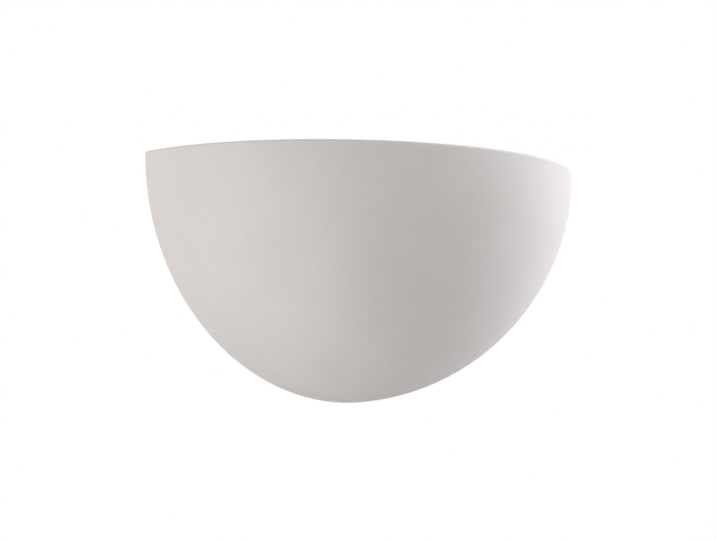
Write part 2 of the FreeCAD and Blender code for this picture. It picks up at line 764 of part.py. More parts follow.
def holder_nipple():
    """Hollow threaded nipple that holds the lampholder's cap and lets the leads through."""
    body = lamp_piece("holder_nipple")
    outer = "nipple_diameter / 2"
    bore = "nipple_bore / 2"
    turned(body, [
        (bore, "-nipple_back"),
        (f"{outer} - 0.5", "-nipple_back"),
        (outer, "-nipple_back + 0.5"),
        (outer, "nipple_depth - 0.5"),
        (f"{outer} - 0.5", "nipple_depth"),
        (bore, "nipple_depth"),
    ])
    return body


def nipple_washer():
    """Toothed washer behind the arm."""
    body = lamp_piece("nipple_washer")
    bore = "nipple_diameter / 2 + screw_clearance"
    outer = "nipple_washer_diameter / 2"
    back = "-arm_thickness - nipple_washer_thickness"
    turned(body, [(bore, back), (outer, back), (outer, "-arm_thickness"), (bore, "-arm_thickness")])
    notch = [
        (f"{outer} - 1.6", "-0.5"),
        (f"{outer} + 1", "-0.9"),
        (f"{outer} + 1", "0.9"),
        (f"{outer} - 1.6", "0.5"),
    ]
    cut = pocket(outline(body, "notch", notch, offset=f"{back} - 1"), "nipple_washer_thickness + 2")
    around(cut, "12")
    return body


def nipple_nut():
    """Thin nut that clamps the lampholder to the arm."""
    thickness = "nipple_nut_thickness"
    back = f"-arm_thickness - nipple_washer_thickness - {thickness}"
    body = new_piece("nipple_nut", ALONG_LAMP, f"arm_face + {back}", "-lamp_out", "lamp_up")
    return hex_nut(body, "nipple_nut_across", thickness, "nipple_diameter / 2 + thread_gap")


# ---------------------------------------------------------------- lampholder

def holder_cap():
    """Domed back of the lampholder."""
    body = lamp_piece("holder_cap")
    bore = "nipple_diameter / 2 + thread_gap"
    inner = "holder_radius - holder_wall"
    turned(body, [
        (bore, "0"),
        ("holder_radius / 2", "0"),
        ("holder_radius / 2", "cap_floor - 2.5", "(cap_depth - 8) * 0.72"),
        ("holder_radius", "cap_depth - 10"),
        ("holder_radius", "cap_depth"),
        (inner, "cap_depth"),
        (inner, "cap_depth - 9.5", "-(cap_depth - 8) * 0.64"),
        ("holder_radius / 2 - 1", "cap_floor"),
        (bore, "cap_floor"),
    ])
    return body


def holder_shell():
    """Front sleeve of the lampholder, screwed into the cap, with a ledge over the core."""
    body = lamp_piece("holder_shell")
    inner = "holder_radius - holder_wall"
    tail = f"{inner} - lead_gap"
    core = "core_radius + 0.2"
    ledge = "screw_shell_outer + 0.6"
    turned(body, [
        (core, "core_back - 3"),
        (tail, "core_back - 3"),
        (tail, "cap_depth"),
        ("holder_radius", "cap_depth"),
        ("holder_radius", "holder_length - 2.5", "2.5"),
        ("holder_radius - 2.5", "holder_length"),
        ("holder_mouth", "holder_length"),
        ("holder_mouth", "holder_length - 2"),
        (inner, "holder_length - 2"),
        (inner, "core_front + 2"),
        (ledge, "core_front + 2"),
        (ledge, "core_front"),
        (core, "core_front"),
    ])
    return body


def holder_core():
    """Ceramic disc that carries the contacts and terminals."""
    body = lamp_piece("holder_core")
    turned(body, [
        ("core_bore", "core_back"),
        ("core_radius - 0.8", "core_back"),
        ("core_radius", "core_back + 0.8"),
        ("core_radius", "core_front - 0.5"),
        ("core_radius - 0.5", "core_front"),
        ("core_bore", "core_front"),
    ])
    return body


def thread_profile(body, root, crest, height, root_half, crest_half):
    """Flat-topped profile of one thread at the given height."""
    return outline(body, "thread", [
        (root, f"{height} - {root_half}"),
        (crest, f"{height} - {crest_half}"),
        (crest, f"{height} + {crest_half}"),
        (root, f"{height} + {root_half}"),
    ], "XZ_Plane")


def thread(body, kind, sketch, length):
    """A right-hand thread, raised or cut, along the body's z axis."""
    feature = body.newObject(f"PartDesign::{kind}Helix", f"{body.Name}_thread")
    feature.Profile = sketch
    feature.ReferenceAxis = (sketch, ["V_Axis"])
    feature.Mode = "pitch-height-angle"
    bind(feature, "Pitch", "thread_pitch")
    bind(feature, "Height", length)
    doc.recompute()
    return feature


def holder_screw_shell():
    """Brass shell that the lamp screws into."""
    body = lamp_piece("holder_screw_shell")
    turned(body, [
        ("8", "core_front"),
        ("screw_shell_outer", "core_front"),
        ("screw_shell_outer", "screw_shell_end"),
        ("screw_shell_minor", "screw_shell_end"),
        ("screw_shell_minor", "core_front + 0.8"),
        ("8", "core_front + 0.8"),
    ])
    sketch = thread_profile(body, "screw_shell_minor - 0.4", "screw_shell_major",
                            "holder_thread_start", "1.45", "0.75")
    before = body.Shape.Volume
    thread(body, "Subtractive", sketch, "screw_shell_end - holder_thread_start + thread_pitch")
    if body.Shape.Volume >= before:
        raise RuntimeError("the holder's thread cuts nothing")
    return body


def holder_centre_contact():
    """Sprung brass tongue that presses on the lamp's end contact."""
    body = lamp_piece("holder_centre_contact")
    top = "contact_depth - face_gap"
    turned(body, [
        ("0", "core_back + 1"),
        ("1.5", "core_back + 1"),
        ("1.5", "core_front"),
        ("3", "core_front"),
        ("3", "core_front + 0.5"),
        ("0", "core_front + 0.5"),
    ], "rivet")
    tongue = [
        ("-6", "core_front"),
        ("0", "core_front"),
        ("3.5", "core_front + 0.8"),
        ("5.2", f"{top} - 1"),
        ("3.5", top),
        ("-3.5", top),
        ("-3.5", f"{top} - 0.5"),
        ("3.2", f"{top} - 0.5"),
        ("4.4", f"{top} - 1.1"),
        ("3.1", "core_front + 1.25"),
        ("0", "core_front + 0.5"),
        ("-6", "core_front + 0.5"),
    ]
    pad(outline(body, "tongue", tongue, "XZ_Plane"), "5", both_ways=True)
    return body


def terminal_spots():
    """Each terminal's side of the lamp's axis, and its distance along it from there."""
    return (("upper", -1), ("lower", 1))


def holder_terminals():
    """Two brass terminals on the back of the core."""
    half = "terminal_size / 2"

    def terminal(label, sign):
        body = lamp_piece(label)
        middle = "-terminal_offset" if sign < 0 else "terminal_offset"
        pad(outline(body, "block", [
            (f"{middle} - {half}", f"-{half}"),
            (f"{middle} + {half}", f"-{half}"),
            (f"{middle} + {half}", half),
            (f"{middle} - {half}", half),
        ], offset="terminal_back"), "terminal_length")
        pocket(circles(body, "lead_hole", [(middle, "0", "lead_hole + 0.1")],
                       offset="terminal_back - 1"), "terminal_length - 1")
        hole = circles(body, "screw_hole", [("0", "terminal_back + 3", "clamp_screw / 2 + 0.05")],
                       "YZ_Plane", middle)
        pocket(hole, "terminal_size", forward=sign > 0)
        return body

    bodies = [terminal(f"{name}_terminal", sign) for name, sign in terminal_spots()]
    node = doc.addObject("Part::Compound", "holder_terminals_set")
    node.Label = "holder_terminals"
    node.Links = bodies
    doc.recompute()
    return node


def holder_terminal_screws():
    """The screw that clamps the lead in each of the lampholder's terminals."""
    bodies = []
    for name, sign in terminal_spots():
        turn = Rotation(Vector(0, 0, 1), Vector(0, 0, -sign))
        up = f"lamp_up - ({sign} * terminal_offset)"
        body = new_piece(f"{name}_terminal_screw", turn, "arm_face + terminal_back + 3",
                         "-lamp_out", up)
        pan_screw(body, "clamp_screw / 2", "lead_radius + face_gap", "terminal_size / 2", "2.2", "1.8")
        bodies.append(body)
    node = doc.addObject("Part::Compound", "holder_terminal_screws_set")
    node.Label = "holder_terminal_screws"
    node.Links = bodies
    doc.recompute()
    return node


# ---------------------------------------------------------------- lamp

def lamp_contact():
    """End contact of the lamp: a button with a short pin."""
    body = lamp_piece("lamp_contact")
    turned(body, [
        ("0", "contact_depth"),
        ("button_radius - 1", "contact_depth"),
        ("button_radius", "contact_depth + button_thickness - 0.5"),
        ("button_radius", "contact_depth + button_thickness"),
        ("pin_radius", "contact_depth + button_thickness"),
        ("pin_radius", "contact_depth + pin_length"),
        ("0", "contact_depth + pin_length"),
    ])
    return body


def lamp_cap_insulator():
    """Insulating cone between the end contact and the threaded cap."""
    body = lamp_piece("lamp_cap_insulator")
    root = "lamp_thread_root - cap_sheet"
    bore = "pin_radius + face_gap"
    face = "contact_depth + button_thickness + face_gap"
    end = "contact_depth + insulator_length"
    turned(body, [
        (bore, face),
        ("insulator_face", face),
        (root, "contact_depth + insulator_cone"),
        (root, end),
        (bore, end),
    ])
    return body


def lamp_screw_cap():
    """Threaded metal cap of the lamp."""
    body = lamp_piece("lamp_screw_cap")
    root = "lamp_thread_root"
    crest = "lamp_thread_crest"
    cap_start = "contact_depth + insulator_cone - 0.4"
    turned(body, [
        (f"{root} - cap_sheet", cap_start),
        (root, cap_start),
        (root, "lamp_cap_end - 5"),
        (crest, "lamp_cap_end - 4"),
        (crest, "lamp_cap_end"),
        (f"{crest} - cap_sheet", "lamp_cap_end"),
        (f"{crest} - cap_sheet", "lamp_cap_end - 3.8"),
        (f"{root} - cap_sheet", "lamp_cap_end - 4.8"),
    ])
    sketch = thread_profile(body, f"{root} - 0.2", crest, "lamp_thread_start", "1.05", "0.45")
    before = body.Shape.Volume
    thread(body, "Additive", sketch, "3.8 * thread_pitch")
    if body.Shape.Volume <= before:
        raise RuntimeError("the lamp's thread adds nothing")
    return body


def lamp_collar():
    """Flared plastic collar between the metal cap and the globe, with a ledge for the board."""
    body = lamp_piece("lamp_collar")
    crest = "lamp_thread_crest"
    start = "holder_length + 0.5"
    turned(body, [
        (f"{crest} + face_gap", start),
        (f"{crest} + 1.2", start),
        (f"{crest} + collar_wall", f"{start} + 2", "-90"),
        ("globe_edge_radius", "globe_end - 4"),
        ("globe_edge_radius", "globe_end"),
        ("globe_edge_inner", "globe_end"),
        ("globe_edge_inner", "led_board_back"),
        ("globe_edge_inner - 2.5", "led_board_back"),
        ("globe_edge_inner - 2.5", "led_board_back - 3", "88"),
        (f"{crest} + face_gap", "lamp_cap_end + 2"),
    ])
    return body


def lamp_globe():
    """Opal globe of the lamp."""
    body = lamp_piece("lamp_globe")
    turned(body, [
        ("globe_edge_radius", "globe_end", "globe_radius"),
        ("0", "globe_centre + globe_radius"),
        ("0", "globe_centre + globe_inner", "-globe_inner"),
        ("globe_edge_inner", "globe_end"),
    ])
    return body


def lamp_led_board():
    """Round board that carries the light sources."""
    body = lamp_piece("lamp_led_board")
    pad(circles(body, "disc", [("0", "0", "globe_edge_inner - 0.2")], offset="led_board_back"),
        "led_board_thickness")
    return body


def lamp_leds():
    """Ring of small light sources."""
    body = lamp_piece("lamp_leds")
    body.AllowCompound = True
    chip = [
        ("led_circle - 1.4", "-1.75"),
        ("led_circle + 1.4", "-1.75"),
        ("led_circle + 1.4", "1.75"),
        ("led_circle - 1.4", "1.75"),
    ]
    first = pad(outline(body, "chip", chip, offset="led_board_front"), "0.7")
    around(first, "led_count")
    return body


def lamp_driver_board():
    """Upright board behind the round one, with the lamp's circuit."""
    body = lamp_piece("lamp_driver_board")
    wide = "driver_width / 2"
    half = "led_board_thickness / 2"
    start = "lamp_cap_end + driver_gap"
    pad(outline(body, "strip", [
        (f"-{wide}", f"-{half}"),
        (wide, f"-{half}"),
        (wide, half),
        (f"-{wide}", half),
    ], offset=start), f"led_board_back - ({start})")
    return body


# ---------------------------------------------------------------- terminal block and earth

def pole_heights():
    """Heights of the three poles above the wall screws, from the lowest."""
    return ("block_up - block_pitch", "block_up", "block_up + block_pitch")


def screw_columns():
    """Distances across of the two rows of screws in the terminal block."""
    return ("block_centre - block_width / 4", "block_centre + block_width / 4")


def terminal_block():
    """Three-pole plastic block with a tower round each screw."""
    body = wall_piece("terminal_block")
    low = "block_up - block_pitch * 1.5"
    high = "block_up + block_pitch * 1.5"
    right = "block_left + block_width"
    base = [("block_left", low), (right, low), (right, high), ("block_left", high)]
    pad(outline(body, "base", base, offset="plate_thickness"), "block_height")
    tower = "tube_radius + 0.7"
    spots = [(column, height) for height in pole_heights() for column in screw_columns()]
    towers = [(column, height, tower) for column, height in spots]
    pad(circles(body, "towers", towers, offset="block_front - 1"), "block_tower + 1")
    wells = [(column, height, "2.3") for column, height in spots]
    pocket(circles(body, "wells", wells, offset="pole_axis"), "block_height + block_tower")
    bores = [(height, "pole_axis", "tube_radius + lead_gap") for height in pole_heights()]
    pocket(circles(body, "bores", bores, "YZ_Plane", "block_left - 1"), "block_width + 2")
    fixings = [("block_centre", f"block_up {sign} block_pitch / 2", "block_screw / 2 + 0.2")
               for sign in ("-", "+")]
    pocket(circles(body, "fixings", fixings), "block_front + 1")
    return body


def terminal_tubes():
    """Brass tube in each pole, with a tapped hole under each screw."""
    first, *others = pole_heights()
    piece = new_piece("terminal_tube", Rotation(), "block_left + 0.5", "-pole_axis", first)
    ring = circles(piece, "ring", [("0", "0", "tube_radius"), ("0", "0", "tube_bore")], "YZ_Plane")
    pad(ring, "block_width - 1")
    holes = [(f"{column} - block_left - 0.5", "0", "clamp_screw / 2 + 0.05")
             for column in screw_columns()]
    pocket(circles(piece, "tapped", holes, "XZ_Plane"), "tube_radius + 1")
    spots = [("block_left + 0.5", "-pole_axis", height) for height in others]
    return copies("terminal_tubes", piece, spots)


def terminal_screws():
    """Two screws in each pole."""
    spots = [(column, height) for height in pole_heights() for column in screw_columns()]
    piece = wall_piece("terminal_screw", across=spots[0][0], out="pole_axis", up=spots[0][1])
    pan_screw(piece, "clamp_screw / 2", "lead_radius + face_gap", "tube_radius + 2.6", "2.1", "1.8")
    others = [(column, "-pole_axis", height) for column, height in spots[1:]]
    return copies("terminal_screws", piece, others)


def block_screws():
    """Two screws that hold the block to the plate."""
    low = "block_up - block_pitch / 2"
    high = "block_up + block_pitch / 2"
    piece = wall_piece("block_screw_piece", across="block_centre", up=low)
    pan_screw(piece, "block_screw / 2", "0.3", "block_front", "2.6", "1.8")
    return copies("block_screws", piece, [("block_centre", "0", high)])


def earth_screw():
    """Screw that bonds the plate to earth."""
    body = wall_piece("earth_screw", across="earth_across", up="earth_up")
    seat = "plate_thickness + 0.8 + 0.8"
    return pan_screw(body, "earth_screw / 2", "0.3", seat, "earth_screw", "2.6")


def earth_washer():
    """Toothed washer between the plate and the ring tag."""
    body = wall_piece("earth_washer", across="earth_across", out="plate_thickness", up="earth_up")
    outer = "earth_screw"
    bore = "earth_screw / 2 + 0.2"
    turned(body, [(bore, "0"), (outer, "0"), (outer, "0.8"), (bore, "0.8")])
    notch = [
        (f"{outer} - 0.9", "-0.25"),
        (f"{outer} + 1", "-0.5"),
        (f"{outer} + 1", "0.5"),
        (f"{outer} - 0.9", "0.25"),
    ]
    cut = pocket(outline(body, "notch", notch, offset="-1"), "3")
    around(cut, "10")
    return body


def earth_ring_tag():
    """Ring tag under the earth screw, with a barrel crimped on the earth lead."""
    out = "plate_thickness + 0.8"
    body = wall_piece("earth_ring_tag", across="earth_across", out=out, up="earth_up")
    ring = [("0", "0", "earth_screw")]
    pad(circles(body, "ring", ring), "0.8")
    neck = [("2", "-1.4"), ("7", "-1.4"), ("7", "1.4"), ("2", "1.4")]
    pad(outline(body, "neck", neck), "0.8")
    barrel = circles(body, "barrel", [("0", "lead_hole + 0.8", "lead_hole + 0.8")],
                     "YZ_Plane", "5.5")
    pad(barrel, "6")
    bore = circles(body, "barrel_bore", [("0", "lead_hole + 0.8", "lead_hole")], "YZ_Plane", "5.5")
    pocket(bore, "7")
    pocket(circles(body, "hole", [("0", "0", "earth_screw / 2 + 0.15")], offset="-1"), "3")
    return body


# ---------------------------------------------------------------- leads

def lead_clip():
    """Nylon saddle that holds the two lamp leads on the plate."""
    body = wall_piece("lead_clip", across="clip_across", out="plate_thickness")
    low = "neutral_height - 3.6"
    high = "live_height + 3.6"
    top = "lead_run_out - plate_thickness + 2.6"
    section = [(low, "0"), (high, "0"), (high, f"{top} - 2.5", "2.5"), (f"{high} - 2.5", top),
               (f"{low} + 2.5", top, "2.5"), (low, f"{top} - 2.5")]
    pad(outline(body, "saddle", section, "YZ_Plane"), "clip_length", both_ways=True)
    holes = [(height, "lead_run_out - plate_thickness", "lead_hole")
             for height in ("live_height", "neutral_height")]
    pocket(circles(body, "lead_holes", holes, "YZ_Plane"), "clip_length + 2", both_ways=True)
    return body


def rounded_path(points):
    """Straight runs joined by tangent arcs, each as large as its two runs allow."""
    edges = []
    radii = []
    here = points[0]
    for before, corner, after in zip(points, points[1:], points[2:]):
        back = (before - corner).normalize()
        onward = (after - corner).normalize()
        turn = math.pi - back.getAngle(onward)
        shorter = min((before - corner).Length, (after - corner).Length)
        tangent = 0.45 * shorter
        radius = tangent / math.tan(turn / 2)
        start = corner + back * tangent
        end = corner + onward * tangent
        middle = (back + onward).normalize()
        depth = radius / math.cos(turn / 2) - radius
        edges.append(Part.LineSegment(here, start).toShape())
        edges.append(Part.Arc(start, corner + middle * depth, end).toShape())
        radii.append(radius)
        here = end
    edges.append(Part.LineSegment(here, points[-1]).toShape())
    return Part.Wire(edges), radii


def lead(label, route):
    """A round insulated lead along a route of formulas for X, Y and Z."""
    points = [Vector(*(value(formula) for formula in spot)) for spot in route]
    path, radii = rounded_path(points)
    radius = value("lead_radius")
    section = Part.Wire([Part.Circle(points[0], points[1] - points[0], radius).toShape()])
    solid = path.makePipeShell([section], True, False)
    expected = math.pi * radius ** 2 * path.Length
    if abs(solid.Volume / expected - 1) > 0.001:
        raise RuntimeError(f"{label} has the wrong volume")
    smallest = min(radii)
    print(f"{label}: length {path.Length:.1f}, bend radii "
          + ", ".join(f"{bend:.1f}" for bend in radii) + f", least {smallest:.1f}")
    node = doc.addObject("Part::Feature", label)
    node.Label = label
    node.Shape = solid
    node.Placement = Placement()
    return node


def leads():
    """The live and neutral leads of the lampholder, and the plate's earth lead."""
    low, middle, high = pole_heights()
    nipple_end = "arm_face - nipple_back"
    inside = "(nipple_bore - lead_diameter) / 4"
    run = "-lead_run_out"
    axis = "-pole_axis"
    live = [
        ("arm_face + terminal_back + 4", "-lamp_out", "lamp_up + terminal_offset"),
        ("arm_face + terminal_back - 2.5", "-lamp_out", "lamp_up + terminal_offset"),
        ("arm_face + nipple_depth - 2.5", "-lamp_out", f"lamp_up + {inside}"),
        (f"{nipple_end} - 8", "-lamp_out", f"lamp_up + {inside}"),
        (f"{nipple_end} - 12", "-lamp_out + 6", "lamp_up - 12"),
        (f"{nipple_end} - 3", "-lamp_out + 20", "lamp_up - 22"),
        ("arm_face + 6", "-lamp_out + 37", "live_height + 1"),
        ("arm_face + 36", run, "live_height"),
        ("block_left - 50", run, "live_height"),
        ("block_left - 26", f"{run} - 0.5", "live_height + 4"),
        ("block_left - 11", f"{run} - 0.5", "live_height + 14"),
        ("block_left - 9", f"{run} + 0.2", "block_up - 6"),
        ("block_left - 2", axis, middle),
        ("block_left + 7", axis, middle),
    ]
    neutral = [
        ("arm_face + terminal_back + 4", "-lamp_out", "lamp_up - terminal_offset"),
        ("arm_face + terminal_back - 2.5", "-lamp_out", "lamp_up - terminal_offset"),
        ("arm_face + nipple_depth - 2.5", "-lamp_out", f"lamp_up - {inside}"),
        (f"{nipple_end} - 4.5", "-lamp_out", f"lamp_up - {inside}"),
        (f"{nipple_end} - 8", "-lamp_out + 7", "lamp_up - 14.5"),
        (f"{nipple_end}", "-lamp_out + 21", "lamp_up - 25"),
        ("arm_face + 8", "-lamp_out + 38", "neutral_height + 1"),
        ("arm_face + 36", run, "neutral_height"),
        ("block_left - 50", run, "neutral_height"),
        ("block_left - 20", f"{run} - 0.5", "neutral_height + 3"),
        ("block_left - 10", f"{run} + 0.2", "neutral_height + 14"),
        ("block_left - 2.5", axis, low),
        ("block_left + 7", axis, low),
    ]
    tag_out = "plate_thickness + 0.8 + lead_hole + 0.8"
    earth = [
        ("earth_across + 6", f"-({tag_out})", "earth_up"),
        ("earth_across + 15", f"-({tag_out})", "earth_up"),
        ("block_left - 2", axis, high),
        ("block_left + 7", axis, high),
    ]
    return [lead("live_lead", live), lead("neutral_lead", neutral), lead("earth_lead", earth)]


# ---------------------------------------------------------------- whole sconce

def build():
    """Make every piece and give them back in the order of assembly."""
    nodes = [
        wall_plate(),
        cable_bush(),
        bowl_studs(),
        stud_locknuts(),
        holder_arm(),
        arm_screws(),
        holder_nipple(),
        nipple_washer(),
        nipple_nut(),
        holder_cap(),
        holder_shell(),
        holder_core(),
        holder_screw_shell(),
        holder_centre_contact(),
        holder_terminals(),
        holder_terminal_screws(),
        terminal_block(),
        terminal_tubes(),
        terminal_screws(),
        block_screws(),
        earth_screw(),
        earth_washer(),
        earth_ring_tag(),
        lead_clip(),
    ]
    nodes += leads()
    nodes += [
        lamp_contact(),
        lamp_cap_insulator(),
        lamp_screw_cap(),
        lamp_collar(),
        lamp_driver_board(),
        lamp_led_board(),
        lamp_leds(),
        lamp_globe(),
        ceramic_bowl(),
    ]
    for side in ("left", "right"):
        nodes += [bowl_washer(side), knurled_nut(side)]
    return nodes


def check(nodes):
    """Stop if any object failed or any piece is missing, broken or not solid."""
    doc.recompute()
    for item in doc.Objects:
        if "Invalid" in item.State or "Error" in item.State:
            raise RuntimeError(f"{item.Label} failed: {item.State}")
    for node in nodes:
        if node.Shape.isNull() or not node.Shape.isValid() or not node.Shape.Solids:
            raise RuntimeError(f"{node.Label} is not a sound solid")
        box = node.Shape.BoundBox
        print(f"{node.Label}: {len(node.Shape.Solids)} solid(s), {node.Shape.Volume:.1f} mm3, "
              f"x {box.XMin:.2f}..{box.XMax:.2f}, y {box.YMin:.2f}..{box.YMax:.2f}, "
              f"z {box.ZMin:.2f}..{box.ZMax:.2f}")


fill_sheet()
fill_places()
sconce = build()
check(sconce)
os.makedirs("parts", exist_ok=True)
for piece in sconce:
    piece.Shape.exportStep(f"parts/{piece.Label}.step")
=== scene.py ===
"""Looks of the uplighter wall sconce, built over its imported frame."""
from math import cos, radians, sin

import bpy
from bpy.props import (FloatProperty, FloatVectorProperty, IntProperty,
                       PointerProperty)
from mathutils import Matrix, Vector


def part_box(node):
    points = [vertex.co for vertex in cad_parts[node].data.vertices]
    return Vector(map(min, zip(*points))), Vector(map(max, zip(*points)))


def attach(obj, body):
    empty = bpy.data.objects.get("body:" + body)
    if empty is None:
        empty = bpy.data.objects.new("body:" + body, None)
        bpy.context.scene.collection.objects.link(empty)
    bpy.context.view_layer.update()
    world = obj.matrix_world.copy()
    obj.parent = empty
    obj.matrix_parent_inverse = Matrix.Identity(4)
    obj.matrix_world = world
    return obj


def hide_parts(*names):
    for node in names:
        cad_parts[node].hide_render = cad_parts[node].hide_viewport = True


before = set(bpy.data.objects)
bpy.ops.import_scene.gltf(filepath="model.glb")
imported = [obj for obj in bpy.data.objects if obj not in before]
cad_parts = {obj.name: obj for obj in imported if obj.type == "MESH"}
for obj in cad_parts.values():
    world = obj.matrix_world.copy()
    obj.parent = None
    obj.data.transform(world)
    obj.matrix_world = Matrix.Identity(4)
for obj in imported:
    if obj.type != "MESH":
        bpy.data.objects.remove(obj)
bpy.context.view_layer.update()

bl_info = {
    "name": "Uplighter wall sconce",
    "version": (1, 0, 0),
    "blender": (4, 5, 0),
    "location": "View3D > Sidebar > Sconce",
    "description": "Ceramic quarter-sphere uplighter with its lampholder, lamp and wall plate",
    "category": "Object",
}

COAT_ROUGHNESS = 0.1    # of every finish with a clear coat

# Threads
ROD_SIDES = 48
POINTS_A_TURN = 28
FLANK_POINTS = 4
PLAIN_END = 0.7         # rod without thread at each end, in pitches
RUNOUT_RISE = 1.6       # how fast the ridge grows from its ends, per turn
LEAST_RIDGE = 0.02      # share of the ridge left at its very ends
DRILL_LENGTH = 1.5      # times the rod's length
SMALLEST_BORE = 0.00001

# Light sources of the lamp
TRAY_SHARE = 0.7        # of the height of a light source
CHIP_SHARE = 0.3
CHIP_SPREAD = 0.72      # of the tray's length and width
CHIP_RISE = 1.98        # of the chip's height, for a ball half sunk in the tray

# Studio
STUDIO_MIDDLE = (0.0, -0.05, 0.0)
FLOOR_HALF = 9.0
PAPER_GLOW = 0.62       # brightness that the paper adds for the camera alone
WHITE = (1.0, 1.0, 1.0, 1.0)
SENSOR_WIDTH = 36.0
SOFT_LIGHTS = {         # place, width, height, colour
    "left": ((-2.55, -0.45, 0.1), 2.2, 2.2, (1.0, 0.984, 0.965)),
    "right": ((2.2, -1.0, 1.0), 2.0, 1.6, (0.958, 0.982, 1.0)),
    "back": ((0.0, 2.4, 0.9), 2.4, 1.6, (1.0, 1.0, 1.0)),
    "top": ((0.0, -0.6, 2.4), 2.0, 2.0, (1.0, 1.0, 1.0)),
}


# Settings

class BowlSettings(bpy.types.PropertyGroup):
    """Finish of the unglazed bowl."""
    body_colour: FloatVectorProperty(
        name="Body colour", description="Colour of the fired clay",
        subtype="COLOR", size=3, min=0, max=1, default=(0.783, 0.742, 0.727))
    cloud_colour: FloatVectorProperty(
        name="Cloud colour", description="Colour of the faint clouds in the clay",
        subtype="COLOR", size=3, min=0, max=1, default=(0.758, 0.714, 0.697))
    cloud_size: FloatProperty(
        name="Cloud size", description="Size of a cloud in the clay",
        unit="LENGTH", default=0.045)
    grain_size: FloatProperty(
        name="Grain size", description="Size of the grain left by the mould",
        unit="LENGTH", default=0.0007)
    grain_height: FloatProperty(
        name="Grain height", description="Height of that grain",
        unit="LENGTH", default=0.00002)
    wave_size: FloatProperty(
        name="Wave size", description="Size of the shallow waves left by sponging",
        unit="LENGTH", default=0.030)
    wave_height: FloatProperty(
        name="Wave height", description="Height of those waves",
        unit="LENGTH", default=0.00012)


class FittingSettings(bpy.types.PropertyGroup):
    """Sizes of the threads and light sources that repeat."""
    stud_pitch: FloatProperty(
        name="Stud pitch", description="Pitch of the thread on a bowl stud",
        unit="LENGTH", default=0.0007)
    stud_thread: FloatProperty(
        name="Stud thread depth", description="Depth of the thread on a bowl stud",
        unit="LENGTH", default=0.00043)
    nipple_pitch: FloatProperty(
        name="Nipple pitch", description="Pitch of the thread on the lampholder's nipple",
        unit="LENGTH", default=0.001)
    nipple_thread: FloatProperty(
        name="Nipple thread depth", description="Depth of the thread on the nipple",
        unit="LENGTH", default=0.0006)
    nipple_bore: FloatProperty(
        name="Nipple bore", description="Diameter of the hole through the nipple",
        unit="LENGTH", default=0.0068)
    source_count: IntProperty(
        name="Light sources", description="Light sources on the lamp's board",
        min=1, default=10)
    source_circle: FloatProperty(
        name="Source circle", description="Radius of the circle that they stand on",
        unit="LENGTH", default=0.015)
    source_length: FloatProperty(
        name="Source length", description="Length of a light source along its circle",
        unit="LENGTH", default=0.0035)
    source_width: FloatProperty(
        name="Source width", description="Width of a light source",
        unit="LENGTH", default=0.0028)


class StudioSettings(bpy.types.PropertyGroup):
    """Camera, floor and lights."""
    camera_place: FloatVectorProperty(
        name="Camera place", description="Place of the camera",
        subtype="XYZ", size=3, unit="LENGTH", default=(-1.02932, -1.45650, -0.18314))
    camera_azimuth: FloatProperty(
        name="Camera azimuth", description="Turn of the camera to the left of straight ahead",
        subtype="ANGLE", default=radians(35.6174))
    camera_elevation: FloatProperty(
        name="Camera elevation",
        description="Height angle of the camera, below the rim where negative",
        subtype="ANGLE", default=radians(-5.7475))
    camera_roll: FloatProperty(
        name="Camera roll", description="Tilt of the camera about its own axis",
        subtype="ANGLE", default=radians(0.7122))
    focal_length: FloatProperty(
        name="Focal length", description="Focal length on a 36 mm sensor, in millimetres",
        min=1.0, default=138.6945)
    floor_height: FloatProperty(
        name="Floor height", description="Height of the floor",
        unit="LENGTH", default=-1.7)
    left_power: FloatProperty(
        name="Left light", description="Power of the large soft light on the left",
        unit="POWER", default=48.0)
    right_power: FloatProperty(
        name="Right light", description="Power of the soft light on the right",
        unit="POWER", default=85.3)
    back_power: FloatProperty(
        name="Back light", description="Power of the soft light behind the wall side",
        unit="POWER", default=30.0)
    top_power: FloatProperty(
        name="Top light", description="Power of the soft light overhead",
        unit="POWER", default=9.0)
    room_light: FloatProperty(
        name="Room light", description="Strength of the even light of the room",
        default=0.12)


# Nodes of any tree

def put(tree, kind, sources, **settings):
    """Adds a node, its settings, and what feeds its inputs."""
    node = tree.nodes.new(kind)
    for name, given in settings.items():
        setattr(node, name, given)
    for key, source in sources.items():
        socket = node.inputs[key]
        if isinstance(source, bpy.types.NodeSocket):
            tree.links.new(source, socket)
        else:
            socket.default_value = source
    return node


def number(tree, kind, a, b):
    """A Math node fed by sockets or plain numbers."""
    return put(tree, "ShaderNodeMath", {0: a, 1: b}, operation=kind).outputs[0]


# Shader node groups

def new_group(name, inputs, outputs):
    """Starts a shader node group with named sockets."""
    group = bpy.data.node_groups.new(name, "ShaderNodeTree")
    for label, kind, default in inputs:
        socket = group.interface.new_socket(label, in_out="INPUT", socket_type=kind)
        socket.default_value = default
    for label, kind in outputs:
        group.interface.new_socket(label, in_out="OUTPUT", socket_type=kind)
    return group, group.nodes.new("NodeGroupInput"), group.nodes.new("NodeGroupOutput")


def noise(tree, place, scale, detail, roughness=0.5):
    """The value of a noise texture on a place."""
    return put(tree, "ShaderNodeTexNoise",
               {"Vector": place, "Scale": scale, "Detail": detail,
                "Roughness": roughness}).outputs["Fac"]


def ramp(tree, value, low, high):
    """Spreads the part of a value between low and high over 0 to 1."""
    return put(tree, "ShaderNodeMapRange",
               {"Value": value, "From Min": low, "From Max": high},
               interpolation_type="SMOOTHSTEP").outputs["Result"]


def mixed(tree, mask, a, b):
    """Mixes two colours by a mask; each is a socket or a colour."""
    return put(tree, "ShaderNodeMix", {"Factor": mask, 6: a, 7: b}, data_type="RGBA").outputs[2]


